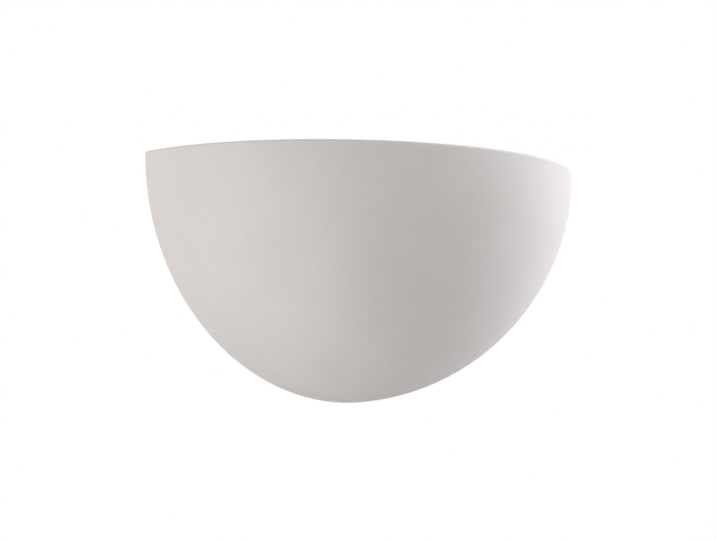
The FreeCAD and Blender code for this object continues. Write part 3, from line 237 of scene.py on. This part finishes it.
def clouds_group():
    """Two colours in soft clouds with a finer fleck over them."""
    group, given, out = new_group(
        "Clouds",
        [("Place", "NodeSocketVector", (0, 0, 0)),
         ("Colour", "NodeSocketColor", (0.8, 0.8, 0.8, 1)),
         ("Cloud Colour", "NodeSocketColor", (0.7, 0.7, 0.7, 1)),
         ("Cloud Size", "NodeSocketFloat", 0.05),
         ("Fleck", "NodeSocketFloat", 0.3)],
        [("Colour", "NodeSocketColor")])
    flecks_per_cloud = 9.0
    often = number(group, "DIVIDE", 1.0, given.outputs["Cloud Size"])
    finer = number(group, "MULTIPLY", often, flecks_per_cloud)
    broad = ramp(group, noise(group, given.outputs["Place"], often, 3.0), 0.32, 0.68)
    fine = ramp(group, noise(group, given.outputs["Place"], finer, 2.0), 0.35, 0.65)
    fleck = number(group, "MULTIPLY", fine, given.outputs["Fleck"])
    rest = number(group, "SUBTRACT", 1.0, given.outputs["Fleck"])
    mask = number(group, "ADD", number(group, "MULTIPLY", broad, rest), fleck)
    group.links.new(mixed(group, mask, given.outputs["Colour"],
                          given.outputs["Cloud Colour"]), out.inputs["Colour"])
    return group


def grain_group():
    """Height of a grain, stretched along one way where it is brushed."""
    group, given, out = new_group(
        "Grain",
        [("Place", "NodeSocketVector", (0, 0, 0)),
         ("Stretch", "NodeSocketVector", (1, 1, 1)),
         ("Grain Size", "NodeSocketFloat", 0.0005),
         ("Grain Height", "NodeSocketFloat", 0.00001),
         ("Wave Size", "NodeSocketFloat", 0.03),
         ("Wave Height", "NodeSocketFloat", 0.0)],
        [("Height", "NodeSocketFloat")])
    place = put(group, "ShaderNodeVectorMath",
                {0: given.outputs["Place"], 1: given.outputs["Stretch"]},
                operation="MULTIPLY").outputs[0]
    fine = noise(group, place, number(group, "DIVIDE", 1.0, given.outputs["Grain Size"]), 3.0, 0.6)
    wave = noise(group, place, number(group, "DIVIDE", 1.0, given.outputs["Wave Size"]), 1.0, 0.4)
    height = number(group, "ADD",
                    number(group, "MULTIPLY", fine, given.outputs["Grain Height"]),
                    number(group, "MULTIPLY", wave, given.outputs["Wave Height"]))
    group.links.new(height, out.inputs["Height"])
    return group


def handling_group():
    """Roughness that wanders between two values where a piece has been handled."""
    group, given, out = new_group(
        "Handling",
        [("Place", "NodeSocketVector", (0, 0, 0)),
         ("Roughness", "NodeSocketFloat", 0.5),
         ("Spread", "NodeSocketFloat", 0.1),
         ("Size", "NodeSocketFloat", 0.01)],
        [("Roughness", "NodeSocketFloat")])
    often = number(group, "DIVIDE", 1.0, given.outputs["Size"])
    patch = ramp(group, noise(group, given.outputs["Place"], often, 4.0), 0.3, 0.7)
    centred = number(group, "SUBTRACT", patch, 0.5)
    swing = number(group, "MULTIPLY", centred, given.outputs["Spread"])
    group.links.new(number(group, "ADD", given.outputs["Roughness"], swing),
                    out.inputs["Roughness"])
    return group


GROUPS = {}


def effect(tree, name, place, **values):
    """Places a shared effect in a material with its own values."""
    if name not in GROUPS:
        GROUPS[name] = {"Clouds": clouds_group, "Grain": grain_group,
                        "Handling": handling_group}[name]()
    node = tree.nodes.new("ShaderNodeGroup")
    node.node_tree = GROUPS[name]
    tree.links.new(place, node.inputs["Place"])
    for label, given in values.items():
        node.inputs[label.replace("_", " ")].default_value = given
    return node


def rgba(colour):
    """A colour with full alpha."""
    return (*colour, 1.0)


class Finish:
    """A material with clouds, grain and handling, ready for its own extra nodes."""

    def __init__(self, name, colour, cloud, cloud_size=0.02, fleck=0.3, roughness=0.5,
                 spread=0.12, patch=0.012, grain=0.0004, height=0.00001, stretch=(1, 1, 1),
                 wave=0.02, wave_height=0.0, metallic=0.0, coat=0.0, ior=1.5, sheen=0.0):
        self.material = bpy.data.materials.new(name)
        self.material.use_nodes = True
        self.material.diffuse_color = rgba(colour)
        self.tree = self.material.node_tree
        self.shader = self.tree.nodes["Principled BSDF"]
        coordinates = self.tree.nodes.new("ShaderNodeTexCoord")
        self.place = coordinates.outputs["Object"]
        self.facing = coordinates.outputs["Normal"]
        self.clouds = effect(self.tree, "Clouds", self.place, Colour=rgba(colour),
                             Cloud_Colour=rgba(cloud), Cloud_Size=cloud_size, Fleck=fleck)
        self.grain = effect(self.tree, "Grain", self.place, Stretch=stretch, Grain_Size=grain,
                            Grain_Height=height, Wave_Size=wave, Wave_Height=wave_height)
        self.handling = effect(self.tree, "Handling", self.place, Roughness=roughness,
                               Spread=spread, Size=patch)
        self.bump = put(self.tree, "ShaderNodeBump", {"Strength": 1.0, "Distance": 1.0})
        self.colour(self.clouds.outputs["Colour"])
        self.height(self.grain.outputs["Height"])
        link = self.tree.links.new
        link(self.handling.outputs["Roughness"], self.shader.inputs["Roughness"])
        link(self.bump.outputs["Normal"], self.shader.inputs["Normal"])
        for socket, given in (("Metallic", metallic), ("IOR", ior), ("Coat Weight", coat),
                              ("Coat Roughness", COAT_ROUGHNESS), ("Sheen Weight", sheen)):
            self.shader.inputs[socket].default_value = given

    def colour(self, socket):
        """Feeds the shader's base colour."""
        self.tree.links.new(socket, self.shader.inputs["Base Color"])

    def height(self, socket):
        """Feeds the height of the bump."""
        self.tree.links.new(socket, self.bump.inputs["Height"])

    def cells(self, scale):
        """The distance to the middle of the nearest of many small cells."""
        return put(self.tree, "ShaderNodeTexVoronoi",
                   {"Vector": self.place, "Scale": scale}).outputs["Distance"]


def bisque_ceramic():
    """Unglazed fired clay: dry, faintly cloudy, finely grained, with a few pin holes."""
    bowl = bpy.context.scene.sconce_bowl
    finish = Finish("bisque_ceramic", bowl.body_colour, bowl.cloud_colour,
                    cloud_size=bowl.cloud_size, fleck=0.25, roughness=0.92, spread=0.08, patch=0.03,
                    grain=bowl.grain_size, height=bowl.grain_height,
                    wave=bowl.wave_size, wave_height=bowl.wave_height, ior=1.42, sheen=0.05)
    tree = finish.tree
    # The last value is how much painted shade darkens the colour inside each pin hole.
    hole_spacing, hole_depth, painted_hole_shade = 0.0042, 0.00012, 0.35
    middle = ramp(tree, finish.cells(1.0 / hole_spacing), 0.09, 0.0)
    chosen = ramp(tree, noise(tree, finish.place, 55.0, 1.0), 0.60, 0.66)
    holes = number(tree, "MULTIPLY", middle, chosen)
    finish.height(number(tree, "SUBTRACT", finish.grain.outputs["Height"],
                         number(tree, "MULTIPLY", holes, hole_depth)))
    # Painted shade: the colour is darkened inside the pin holes, where shade would fall in the
    # pits.
    finish.colour(mixed(tree, number(tree, "MULTIPLY", holes, painted_hole_shade),
                        finish.clouds.outputs["Colour"], (0.62, 0.58, 0.55, 1)))
    return finish.material


def zinc_plated_sheet():
    """Bright zinc on rolled steel: crystal flakes over a fine rolling grain."""
    finish = Finish("zinc_plated_sheet", (0.60, 0.62, 0.64), (0.555, 0.58, 0.605), cloud_size=0.020,
                    fleck=0.4, roughness=0.34, spread=0.10, patch=0.02, grain=0.0004,
                    height=0.000008, stretch=(0.06, 1, 1), metallic=1.0)
    flakes_per_metre, flake_contrast = 190.0, 0.18
    light = ramp(finish.tree, finish.cells(flakes_per_metre), 0.1, 0.9)
    finish.colour(mixed(finish.tree, number(finish.tree, "MULTIPLY", light, flake_contrast),
                        finish.clouds.outputs["Colour"], (0.74, 0.76, 0.78, 1)))
    return finish.material


def green_yellow_insulation():
    """Green insulation with a yellow stripe along each side of the lead."""
    finish = Finish("green_yellow_insulation", (0.030, 0.23, 0.055), (0.022, 0.19, 0.045),
                    roughness=0.42, coat=0.1)
    tree = finish.tree
    parts = put(tree, "ShaderNodeSeparateXYZ", {0: finish.facing}).outputs
    tilted = number(tree, "ADD", parts["Z"], number(tree, "MULTIPLY", parts["Y"], 0.5))
    across = number(tree, "ABSOLUTE", tilted, 0)
    finish.colour(mixed(tree, ramp(tree, across, 0.60, 0.66),
                        finish.clouds.outputs["Colour"], (0.78, 0.60, 0.02, 1)))
    return finish.material


def circuit_board():
    """White board lacquer over raised copper runs."""
    finish = Finish("circuit_board", (0.78, 0.80, 0.78), (0.70, 0.73, 0.70), roughness=0.38,
                    coat=0.3, height=0.000004)
    run_depth, run_contrast = -0.00003, 0.5
    runs = put(finish.tree, "ShaderNodeTexBrick",
               {"Vector": finish.place, "Scale": 260.0, "Mortar Size": 0.06}).outputs["Fac"]
    finish.height(number(finish.tree, "ADD", finish.grain.outputs["Height"],
                         number(finish.tree, "MULTIPLY", runs, run_depth)))
    shade = number(finish.tree, "MULTIPLY", runs, run_contrast)
    finish.colour(mixed(finish.tree, shade, finish.clouds.outputs["Colour"],
                        (0.52, 0.60, 0.52, 1)))
    return finish.material


# Each plain finish: colour, cloud colour, then what makes it differ from the usual values
PLAIN_FINISHES = {
    "zinc_plated_fastener": ((0.64, 0.66, 0.69), (0.55, 0.58, 0.62), dict(
        cloud_size=0.004, roughness=0.27, spread=0.16, patch=0.004, metallic=1.0, height=0.000004)),
    "nickel_plated_brass": ((0.66, 0.62, 0.55), (0.58, 0.53, 0.45), dict(
        cloud_size=0.005, roughness=0.20, spread=0.12, patch=0.005, metallic=1.0, height=0.000003)),
    "brass": ((0.72, 0.50, 0.20), (0.58, 0.37, 0.13), dict(
        cloud_size=0.006, roughness=0.30, spread=0.18, patch=0.005, metallic=1.0, height=0.000004)),
    "black_rubber": ((0.022, 0.021, 0.021), (0.034, 0.033, 0.032), dict(
        cloud_size=0.006, roughness=0.72, spread=0.16, grain=0.0005, height=0.00002)),
    "black_phenolic": ((0.017, 0.014, 0.013), (0.026, 0.020, 0.018), dict(
        cloud_size=0.010, roughness=0.28, spread=0.06, coat=0.25, height=0.000003,
        wave=0.02, wave_height=0.000004)),
    "white_steatite": ((0.80, 0.78, 0.72), (0.72, 0.69, 0.62), dict(
        cloud_size=0.006, roughness=0.48, spread=0.14, height=0.00001)),
    "natural_nylon": ((0.74, 0.72, 0.64), (0.68, 0.65, 0.56), dict(
        cloud_size=0.008, roughness=0.40, spread=0.12, height=0.000008)),
    "tinned_copper": ((0.66, 0.63, 0.60), (0.60, 0.50, 0.42), dict(
        cloud_size=0.003, roughness=0.32, spread=0.16, metallic=1.0, height=0.000005)),
    "brown_insulation": ((0.105, 0.042, 0.020), (0.085, 0.033, 0.015), dict(
        roughness=0.42, spread=0.12, coat=0.1, height=0.000006)),
    "blue_insulation": ((0.030, 0.130, 0.420), (0.024, 0.105, 0.350), dict(
        roughness=0.42, spread=0.12, coat=0.1, height=0.000006)),
    "lamp_metal": ((0.70, 0.70, 0.70), (0.62, 0.62, 0.61), dict(
        cloud_size=0.006, roughness=0.24, spread=0.16, patch=0.005, metallic=1.0, height=0.000005)),
    "black_insulator": ((0.012, 0.012, 0.013), (0.020, 0.020, 0.022), dict(
        roughness=0.22, spread=0.10, coat=0.3, height=0.000004)),
    "white_lamp_plastic": ((0.80, 0.80, 0.79), (0.77, 0.77, 0.755), dict(
        cloud_size=0.015, roughness=0.38, spread=0.10, grain=0.0006, height=0.000008)),
    "opal_globe": ((0.84, 0.84, 0.825), (0.81, 0.81, 0.79), dict(
        cloud_size=0.020, roughness=0.30, spread=0.08, coat=0.15, height=0.000003)),
    "phosphor_chip": ((0.80, 0.62, 0.12), (0.72, 0.54, 0.08), dict(
        cloud_size=0.002, roughness=0.45, spread=0.10, height=0.000006, coat=0.2)),
}


def plain_finish(slot):
    """The material of a slot from the table of plain finishes."""
    colour, cloud, rest = PLAIN_FINISHES[slot]
    return Finish(slot, colour, cloud, **rest).material


MATERIALS = {}


def material(slot):
    """The finished material of one of the record's slots, made once."""
    own = {"bisque_ceramic": bisque_ceramic, "zinc_plated_sheet": zinc_plated_sheet,
           "green_yellow_insulation": green_yellow_insulation, "circuit_board": circuit_board}
    if slot not in MATERIALS:
        MATERIALS[slot] = own[slot]() if slot in own else plain_finish(slot)
    return MATERIALS[slot]


def dress(slot, *nodes):
    """Gives CAD nodes the finish of a slot."""
    for name in nodes:
        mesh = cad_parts[name].data
        mesh.materials.clear()
        mesh.materials.append(material(slot))


# Geometry node trees

def new_tree(name, inputs):
    """Starts a geometry tree with named inputs and one geometry output."""
    tree = bpy.data.node_groups.new(name, "GeometryNodeTree")
    tree.interface.new_socket("Geometry", in_out="INPUT", socket_type="NodeSocketGeometry")
    tree.interface.new_socket("Geometry", in_out="OUTPUT", socket_type="NodeSocketGeometry")
    for label, kind in inputs:
        tree.interface.new_socket(label, in_out="INPUT", socket_type=kind)
    return tree, tree.nodes.new("NodeGroupInput"), tree.nodes.new("NodeGroupOutput")


def threaded_rods_tree():
    """A threaded rod or tube at each of the piece's points, along its own +Z, turned by Turn."""
    tree, given, out = new_tree("Threaded rods", [
        ("Length", "NodeSocketFloat"), ("Radius", "NodeSocketFloat"), ("Bore", "NodeSocketFloat"),
        ("Pitch", "NodeSocketFloat"), ("Depth", "NodeSocketFloat"), ("Turn", "NodeSocketRotation"),
        ("Material", "NodeSocketMaterial")])
    size = given.outputs
    root = number(tree, "SUBTRACT", size["Radius"], size["Depth"])
    middle = number(tree, "MULTIPLY", size["Length"], 0.5)
    lifted = put(tree, "ShaderNodeCombineXYZ", {"Z": middle}).outputs[0]
    core = put(tree, "GeometryNodeMeshCylinder",
               {"Vertices": ROD_SIDES, "Radius": root, "Depth": size["Length"]})
    through = number(tree, "MULTIPLY", size["Length"], DRILL_LENGTH)
    drill = put(tree, "GeometryNodeMeshCylinder",
                {"Vertices": ROD_SIDES, "Radius": size["Bore"], "Depth": through})
    bored = put(tree, "GeometryNodeMeshBoolean",
                {"Mesh 1": core.outputs["Mesh"], "Mesh 2": drill.outputs["Mesh"]},
                operation="DIFFERENCE")
    hollow = put(tree, "FunctionNodeCompare", {0: size["Bore"], 1: SMALLEST_BORE},
                 data_type="FLOAT", operation="GREATER_THAN")
    rod = put(tree, "GeometryNodeSwitch",
              {"Switch": hollow.outputs[0], "False": core.outputs["Mesh"],
               "True": bored.outputs["Mesh"]}, input_type="GEOMETRY")
    raised = put(tree, "GeometryNodeTransform", {"Geometry": rod.outputs[0], "Translation": lifted})
    plain_ends = number(tree, "MULTIPLY", size["Pitch"], 2 * PLAIN_END)
    run = number(tree, "SUBTRACT", size["Length"], plain_ends)
    turns = number(tree, "DIVIDE", run, size["Pitch"])
    helix = put(tree, "GeometryNodeCurveSpiral",
                {"Resolution": POINTS_A_TURN, "Rotations": turns, "Start Radius": root,
                 "End Radius": root, "Height": run})
    upright = put(tree, "GeometryNodeSetCurveNormal", {"Curve": helix.outputs[0]}, mode="Z_UP")
    fade = put(tree, "GeometryNodeSplineParameter", {}).outputs["Factor"]
    ends = number(tree, "MINIMUM", fade, number(tree, "SUBTRACT", 1.0, fade))
    growth = number(tree, "MULTIPLY", ends, number(tree, "MULTIPLY", turns, RUNOUT_RISE))
    runout = number(tree, "MINIMUM", 1.0, growth)
    thick = put(tree, "GeometryNodeSetCurveRadius",
                {"Curve": upright.outputs[0],
                 "Radius": number(tree, "MAXIMUM", runout, LEAST_RIDGE)})
    flank = put(tree, "GeometryNodeCurvePrimitiveCircle",
                {"Resolution": FLANK_POINTS, "Radius": size["Depth"]})
    ridge = put(tree, "GeometryNodeCurveToMesh",
                {"Curve": thick.outputs[0], "Profile Curve": flank.outputs[0], "Fill Caps": True})
    entry = put(tree, "ShaderNodeCombineXYZ",
                {"Z": number(tree, "MULTIPLY", size["Pitch"], PLAIN_END)}).outputs[0]
    placed = put(tree, "GeometryNodeTransform",
                 {"Geometry": ridge.outputs[0], "Translation": entry})
    one = put(tree, "GeometryNodeJoinGeometry", {})
    tree.links.new(placed.outputs[0], one.inputs[0])
    tree.links.new(raised.outputs[0], one.inputs[0])
    each = put(tree, "GeometryNodeInstanceOnPoints",
               {"Points": given.outputs["Geometry"], "Instance": one.outputs[0],
                "Rotation": size["Turn"]})
    real = put(tree, "GeometryNodeRealizeInstances", {0: each.outputs[0]})
    made = put(tree, "GeometryNodeSetMaterial",
               {"Geometry": real.outputs[0], "Material": size["Material"]})
    tree.links.new(made.outputs[0], out.inputs[0])
    return tree


def light_sources_tree():
    """Light sources on a ring about the piece's point: trays with a rounded chip on each."""
    tree, given, out = new_tree("Light sources", [
        ("Count", "NodeSocketInt"), ("Circle", "NodeSocketFloat"),
        ("Length", "NodeSocketFloat"), ("Width", "NodeSocketFloat"),
        ("Height", "NodeSocketFloat"), ("Turn", "NodeSocketRotation"),
        ("Tray Material", "NodeSocketMaterial"), ("Chip Material", "NodeSocketMaterial")])
    size = given.outputs
    ring = put(tree, "GeometryNodeMeshCircle",
               {"Vertices": size["Count"], "Radius": size["Circle"]})
    outward = put(tree, "FunctionNodeAlignRotationToVector",
                  {"Vector": put(tree, "GeometryNodeInputPosition", {}).outputs[0]}, axis="X")
    tray_height = number(tree, "MULTIPLY", size["Height"], TRAY_SHARE)
    chip_height = number(tree, "MULTIPLY", size["Height"], CHIP_SHARE)
    tray_size = put(tree, "ShaderNodeCombineXYZ",
                    {"X": size["Width"], "Y": size["Length"], "Z": tray_height}).outputs[0]
    tray = put(tree, "GeometryNodeMeshCube", {"Size": tray_size})
    tray_up = put(tree, "ShaderNodeCombineXYZ",
                  {"Z": number(tree, "MULTIPLY", tray_height, 0.5)}).outputs[0]
    tray_set = put(tree, "GeometryNodeTransform",
                   {"Geometry": tray.outputs[0], "Translation": tray_up})
    tray_made = put(tree, "GeometryNodeSetMaterial",
                    {"Geometry": tray_set.outputs[0], "Material": size["Tray Material"]})
    ball = put(tree, "GeometryNodeMeshUVSphere",
               {"Segments": 20, "Rings": 10, "Radius": 0.5})
    chip_size = put(tree, "ShaderNodeCombineXYZ",
                    {"X": number(tree, "MULTIPLY", size["Width"], CHIP_SPREAD),
                     "Y": number(tree, "MULTIPLY", size["Length"], CHIP_SPREAD),
                     "Z": number(tree, "MULTIPLY", chip_height, CHIP_RISE)}).outputs[0]
    chip_up = put(tree, "ShaderNodeCombineXYZ", {"Z": tray_height}).outputs[0]
    chip = put(tree, "GeometryNodeTransform",
               {"Geometry": ball.outputs[0], "Translation": chip_up, "Scale": chip_size})
    chip_made = put(tree, "GeometryNodeSetMaterial",
                    {"Geometry": chip.outputs[0], "Material": size["Chip Material"]})
    one = put(tree, "GeometryNodeJoinGeometry", {})
    tree.links.new(chip_made.outputs[0], one.inputs[0])
    tree.links.new(tray_made.outputs[0], one.inputs[0])
    each = put(tree, "GeometryNodeInstanceOnPoints",
               {"Points": ring.outputs[0], "Instance": one.outputs[0],
                "Rotation": outward.outputs[0]})
    board = put(tree, "GeometryNodeInstanceOnPoints",
                {"Points": given.outputs["Geometry"], "Instance": each.outputs[0],
                 "Rotation": size["Turn"]})
    real = put(tree, "GeometryNodeRealizeInstances", {0: board.outputs[0]})
    tree.links.new(real.outputs[0], out.inputs[0])
    return tree


def points_mesh(name, places):
    """A piece whose mesh is only points, for a tree to build on."""
    mesh = bpy.data.meshes.new(name)
    mesh.from_pydata(places, [], [])
    piece = bpy.data.objects.new(name, mesh)
    bpy.context.scene.collection.objects.link(piece)
    return piece


def grown(piece, tree, values):
    """Runs a tree on a piece with these inputs, and keeps the result as its plain mesh."""
    modifier = piece.modifiers.new(tree.name, "NODES")
    modifier.node_group = tree
    sockets = {item.name: item.identifier for item in tree.interface.items_tree
               if item.in_out == "INPUT"}
    for label, given in values.items():
        modifier[sockets[label]] = given
    bpy.context.view_layer.update()
    graph = bpy.context.evaluated_depsgraph_get()
    result = bpy.data.meshes.new_from_object(piece.evaluated_get(graph))
    piece.modifiers.remove(modifier)
    old = piece.data
    piece.data = result
    bpy.data.meshes.remove(old)
    result.name = piece.name
    if not result.polygons:
        raise RuntimeError(f"{piece.name} came out empty")
    return piece


# Operators

class SCONCE_OT_bowl(bpy.types.Operator):
    """Gives the ceramic bowl its unglazed finish"""
    bl_idname = "sconce.bowl"
    bl_label = "Ceramic bowl"

    def execute(self, context):
        dress("bisque_ceramic", "ceramic_bowl")
        return {"FINISHED"}


class SCONCE_OT_wall_plate(bpy.types.Operator):
    """Finishes the plate, the lampholder's arm and the cable bush"""
    bl_idname = "sconce.wall_plate"
    bl_label = "Wall plate"

    def execute(self, context):
        dress("zinc_plated_sheet", "wall_plate", "holder_arm")
        dress("black_rubber", "cable_bush")
        return {"FINISHED"}


class SCONCE_OT_studs(bpy.types.Operator):
    """Cuts the threads of the two studs that carry the bowl"""
    bl_idname = "sconce.studs"
    bl_label = "Bowl studs"

    def execute(self, context):
        sizes = context.scene.sconce_fittings
        low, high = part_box("bowl_studs")
        radius = (high.z - low.z) / 2
        places = [(x, high.y, 0.0) for x in (low.x + radius, high.x - radius)]
        studs = grown(points_mesh("threaded_studs", places), threaded_rods_tree(), {
            "Length": high.y - low.y, "Radius": radius, "Bore": 0.0, "Pitch": sizes.stud_pitch,
            "Depth": sizes.stud_thread, "Turn": (radians(90), 0, 0),
            "Material": material("zinc_plated_fastener")})
        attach(studs, "wall_bracket")
        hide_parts("bowl_studs")
        return {"FINISHED"}


class SCONCE_OT_fasteners(bpy.types.Operator):
    """Finishes the screws, nuts and washers"""
    bl_idname = "sconce.fasteners"
    bl_label = "Screws, nuts and washers"

    def execute(self, context):
        dress("zinc_plated_fastener", "stud_locknuts", "left_washer", "right_washer", "arm_screws",
              "block_screws", "terminal_screws", "holder_terminal_screws", "nipple_washer",
              "nipple_nut", "earth_washer")
        dress("brass", "earth_screw")
        dress("nickel_plated_brass", "left_knurled_nut", "right_knurled_nut")
        return {"FINISHED"}


class SCONCE_OT_lampholder(bpy.types.Operator):
    """Finishes the lampholder and cuts the thread of its nipple"""
    bl_idname = "sconce.lampholder"
    bl_label = "Lampholder"

    def execute(self, context):
        dress("black_phenolic", "holder_cap", "holder_shell")
        dress("white_steatite", "holder_core")
        dress("brass", "holder_screw_shell", "holder_terminals", "holder_centre_contact")
        sizes = context.scene.sconce_fittings
        low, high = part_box("holder_nipple")
        radius = (high.z - low.z) / 2
        middle = (low + high) / 2
        nipple = grown(points_mesh("threaded_nipple", [(low.x, middle.y, middle.z)]),
                       threaded_rods_tree(), {
            "Length": high.x - low.x, "Radius": radius, "Bore": sizes.nipple_bore / 2,
            "Pitch": sizes.nipple_pitch, "Depth": sizes.nipple_thread,
            "Turn": (0, radians(90), 0), "Material": material("zinc_plated_fastener")})
        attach(nipple, "wall_bracket")
        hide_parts("holder_nipple")
        return {"FINISHED"}


class SCONCE_OT_wiring(bpy.types.Operator):
    """Finishes the terminal block, the leads and their clip"""
    bl_idname = "sconce.wiring"
    bl_label = "Wiring"

    def execute(self, context):
        dress("natural_nylon", "terminal_block", "lead_clip")
        dress("brass", "terminal_tubes")
        dress("tinned_copper", "earth_ring_tag")
        dress("brown_insulation", "live_lead")
        dress("blue_insulation", "neutral_lead")
        dress("green_yellow_insulation", "earth_lead")
        return {"FINISHED"}


class SCONCE_OT_lamp(bpy.types.Operator):
    """Finishes the lamp"""
    bl_idname = "sconce.lamp"
    bl_label = "Lamp"

    def execute(self, context):
        dress("lamp_metal", "lamp_screw_cap", "lamp_contact")
        dress("black_insulator", "lamp_cap_insulator")
        dress("white_lamp_plastic", "lamp_collar")
        dress("opal_globe", "lamp_globe")
        dress("circuit_board", "lamp_led_board", "lamp_driver_board")
        sizes = context.scene.sconce_fittings
        low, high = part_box("lamp_leds")
        middle = (low + high) / 2
        sources = grown(points_mesh("light_sources", [(low.x, middle.y, middle.z)]),
                        light_sources_tree(), {
            "Count": sizes.source_count, "Circle": sizes.source_circle,
            "Length": sizes.source_length, "Width": sizes.source_width, "Height": high.x - low.x,
            "Turn": (0, radians(90), 0), "Tray Material": material("white_lamp_plastic"),
            "Chip Material": material("phosphor_chip")})
        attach(sources, "lamp")
        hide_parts("lamp_leds")
        return {"FINISHED"}


def soft_light(name, place, width, height, colour, power):
    """A rectangular light that faces the middle of the studio."""
    lamp = bpy.data.lights.new(name, "AREA")
    lamp.shape = "RECTANGLE"
    lamp.size, lamp.size_y = width, height
    lamp.energy = power
    lamp.color = colour
    piece = bpy.data.objects.new(name, lamp)
    piece.location = place
    beam = Vector(STUDIO_MIDDLE) - Vector(place)
    piece.rotation_euler = beam.to_track_quat("-Z", "Y").to_euler()
    piece.visible_camera = False
    bpy.context.scene.collection.objects.link(piece)


def camera_turn(studio):
    """The camera's orientation from its azimuth, elevation and roll."""
    azimuth, elevation = studio.camera_azimuth, studio.camera_elevation
    back = Vector((-sin(azimuth) * cos(elevation), -cos(azimuth) * cos(elevation), sin(elevation)))
    side = Vector((cos(azimuth), -sin(azimuth), 0))
    top = back.cross(side)
    level = Matrix((side, top, back)).transposed()
    return (Matrix.Rotation(studio.camera_roll, 3, back) @ level).to_euler()


def studio_paper():
    """Pale paper for the floor, which stays pale far from the lights."""
    finish = Finish("studio_paper", (0.86, 0.86, 0.86), (0.84, 0.84, 0.84), cloud_size=0.8,
                    roughness=0.9, grain=0.002, height=0.00001)
    tree = finish.tree
    seen = put(tree, "ShaderNodeLightPath", {}).outputs["Is Camera Ray"]
    glow = put(tree, "ShaderNodeEmission",
               {"Strength": number(tree, "MULTIPLY", seen, PAPER_GLOW)})
    both = put(tree, "ShaderNodeAddShader", {0: finish.shader.outputs[0], 1: glow.outputs[0]})
    tree.links.new(both.outputs[0], tree.nodes["Material Output"].inputs["Surface"])
    return finish.material


def studio_floor(height):
    """A square of paper under the part."""
    mesh = bpy.data.meshes.new("studio_floor")
    mesh.from_pydata([(x * FLOOR_HALF, y * FLOOR_HALF, height)
                      for x, y in ((-1, -1), (1, -1), (1, 1), (-1, 1))], [], [(0, 1, 2, 3)])
    mesh.materials.append(studio_paper())
    floor = bpy.data.objects.new("studio_floor", mesh)
    bpy.context.scene.collection.objects.link(floor)


def soft_room(strength):
    """A world that is white to the camera and lights the part evenly and faintly."""
    room = bpy.data.worlds.new("soft_room")
    room.use_nodes = True
    tree = room.node_tree
    tree.nodes.remove(tree.nodes["Background"])
    lit, seen = (put(tree, "ShaderNodeBackground", {"Color": WHITE, "Strength": brightness})
                 for brightness in (strength, 1.0))
    ray = put(tree, "ShaderNodeLightPath", {}).outputs["Is Camera Ray"]
    either = put(tree, "ShaderNodeMixShader", {0: ray, 1: lit.outputs[0], 2: seen.outputs[0]})
    tree.links.new(either.outputs[0], tree.nodes["World Output"].inputs["Surface"])
    return room


def front_left_camera(studio):
    """The camera at the photograph's viewing angle."""
    lens = bpy.data.cameras.new("front_left_camera")
    lens.lens = studio.focal_length
    lens.sensor_width = SENSOR_WIDTH
    lens.sensor_fit = "HORIZONTAL"
    lens.clip_start, lens.clip_end = 0.01, 50.0
    camera = bpy.data.objects.new("front_left_camera", lens)
    camera.location = studio.camera_place
    camera.rotation_euler = camera_turn(studio)
    bpy.context.scene.collection.objects.link(camera)
    return camera


class SCONCE_OT_studio(bpy.types.Operator):
    """Sets up the floor, the soft lights, the room and the camera"""
    bl_idname = "sconce.studio"
    bl_label = "Studio"

    def execute(self, context):
        scene = context.scene
        studio = scene.sconce_studio
        studio_floor(studio.floor_height)
        for side, given in SOFT_LIGHTS.items():
            soft_light(f"{side}_soft_light", *given, getattr(studio, f"{side}_power"))
        scene.world = soft_room(studio.room_light)
        scene.view_settings.view_transform = "Standard"
        scene.camera = front_left_camera(studio)
        return {"FINISHED"}


OPERATORS = (SCONCE_OT_bowl, SCONCE_OT_wall_plate, SCONCE_OT_studs, SCONCE_OT_fasteners,
             SCONCE_OT_lampholder, SCONCE_OT_wiring, SCONCE_OT_lamp, SCONCE_OT_studio)
SETTINGS = {"sconce_bowl": BowlSettings, "sconce_fittings": FittingSettings,
            "sconce_studio": StudioSettings}


class SCONCE_PT_panel(bpy.types.Panel):
    """Lists the pieces of the sconce and their settings"""
    bl_idname = "SCONCE_PT_panel"
    bl_label = "Uplighter wall sconce"
    bl_space_type = "VIEW_3D"
    bl_region_type = "UI"
    bl_category = "Sconce"

    def draw(self, context):
        for operator in OPERATORS:
            self.layout.operator(operator.bl_idname)
        for name, group in SETTINGS.items():
            box = self.layout.box()
            for field in group.__annotations__:
                box.prop(getattr(context.scene, name), field)


def register():
    """Registers the classes and their settings."""
    for kind in (*SETTINGS.values(), *OPERATORS, SCONCE_PT_panel):
        bpy.utils.register_class(kind)
    for name, group in SETTINGS.items():
        setattr(bpy.types.Scene, name, PointerProperty(type=group))


def unregister():
    """Takes back what register did."""
    for name in SETTINGS:
        delattr(bpy.types.Scene, name)
    for kind in reversed((*SETTINGS.values(), *OPERATORS, SCONCE_PT_panel)):
        bpy.utils.unregister_class(kind)


def main():
    """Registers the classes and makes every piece."""
    register()
    for kind in OPERATORS:
        area, name = kind.bl_idname.split(".")
        getattr(getattr(bpy.ops, area), name)()


if __name__ == "__main__":
    main()
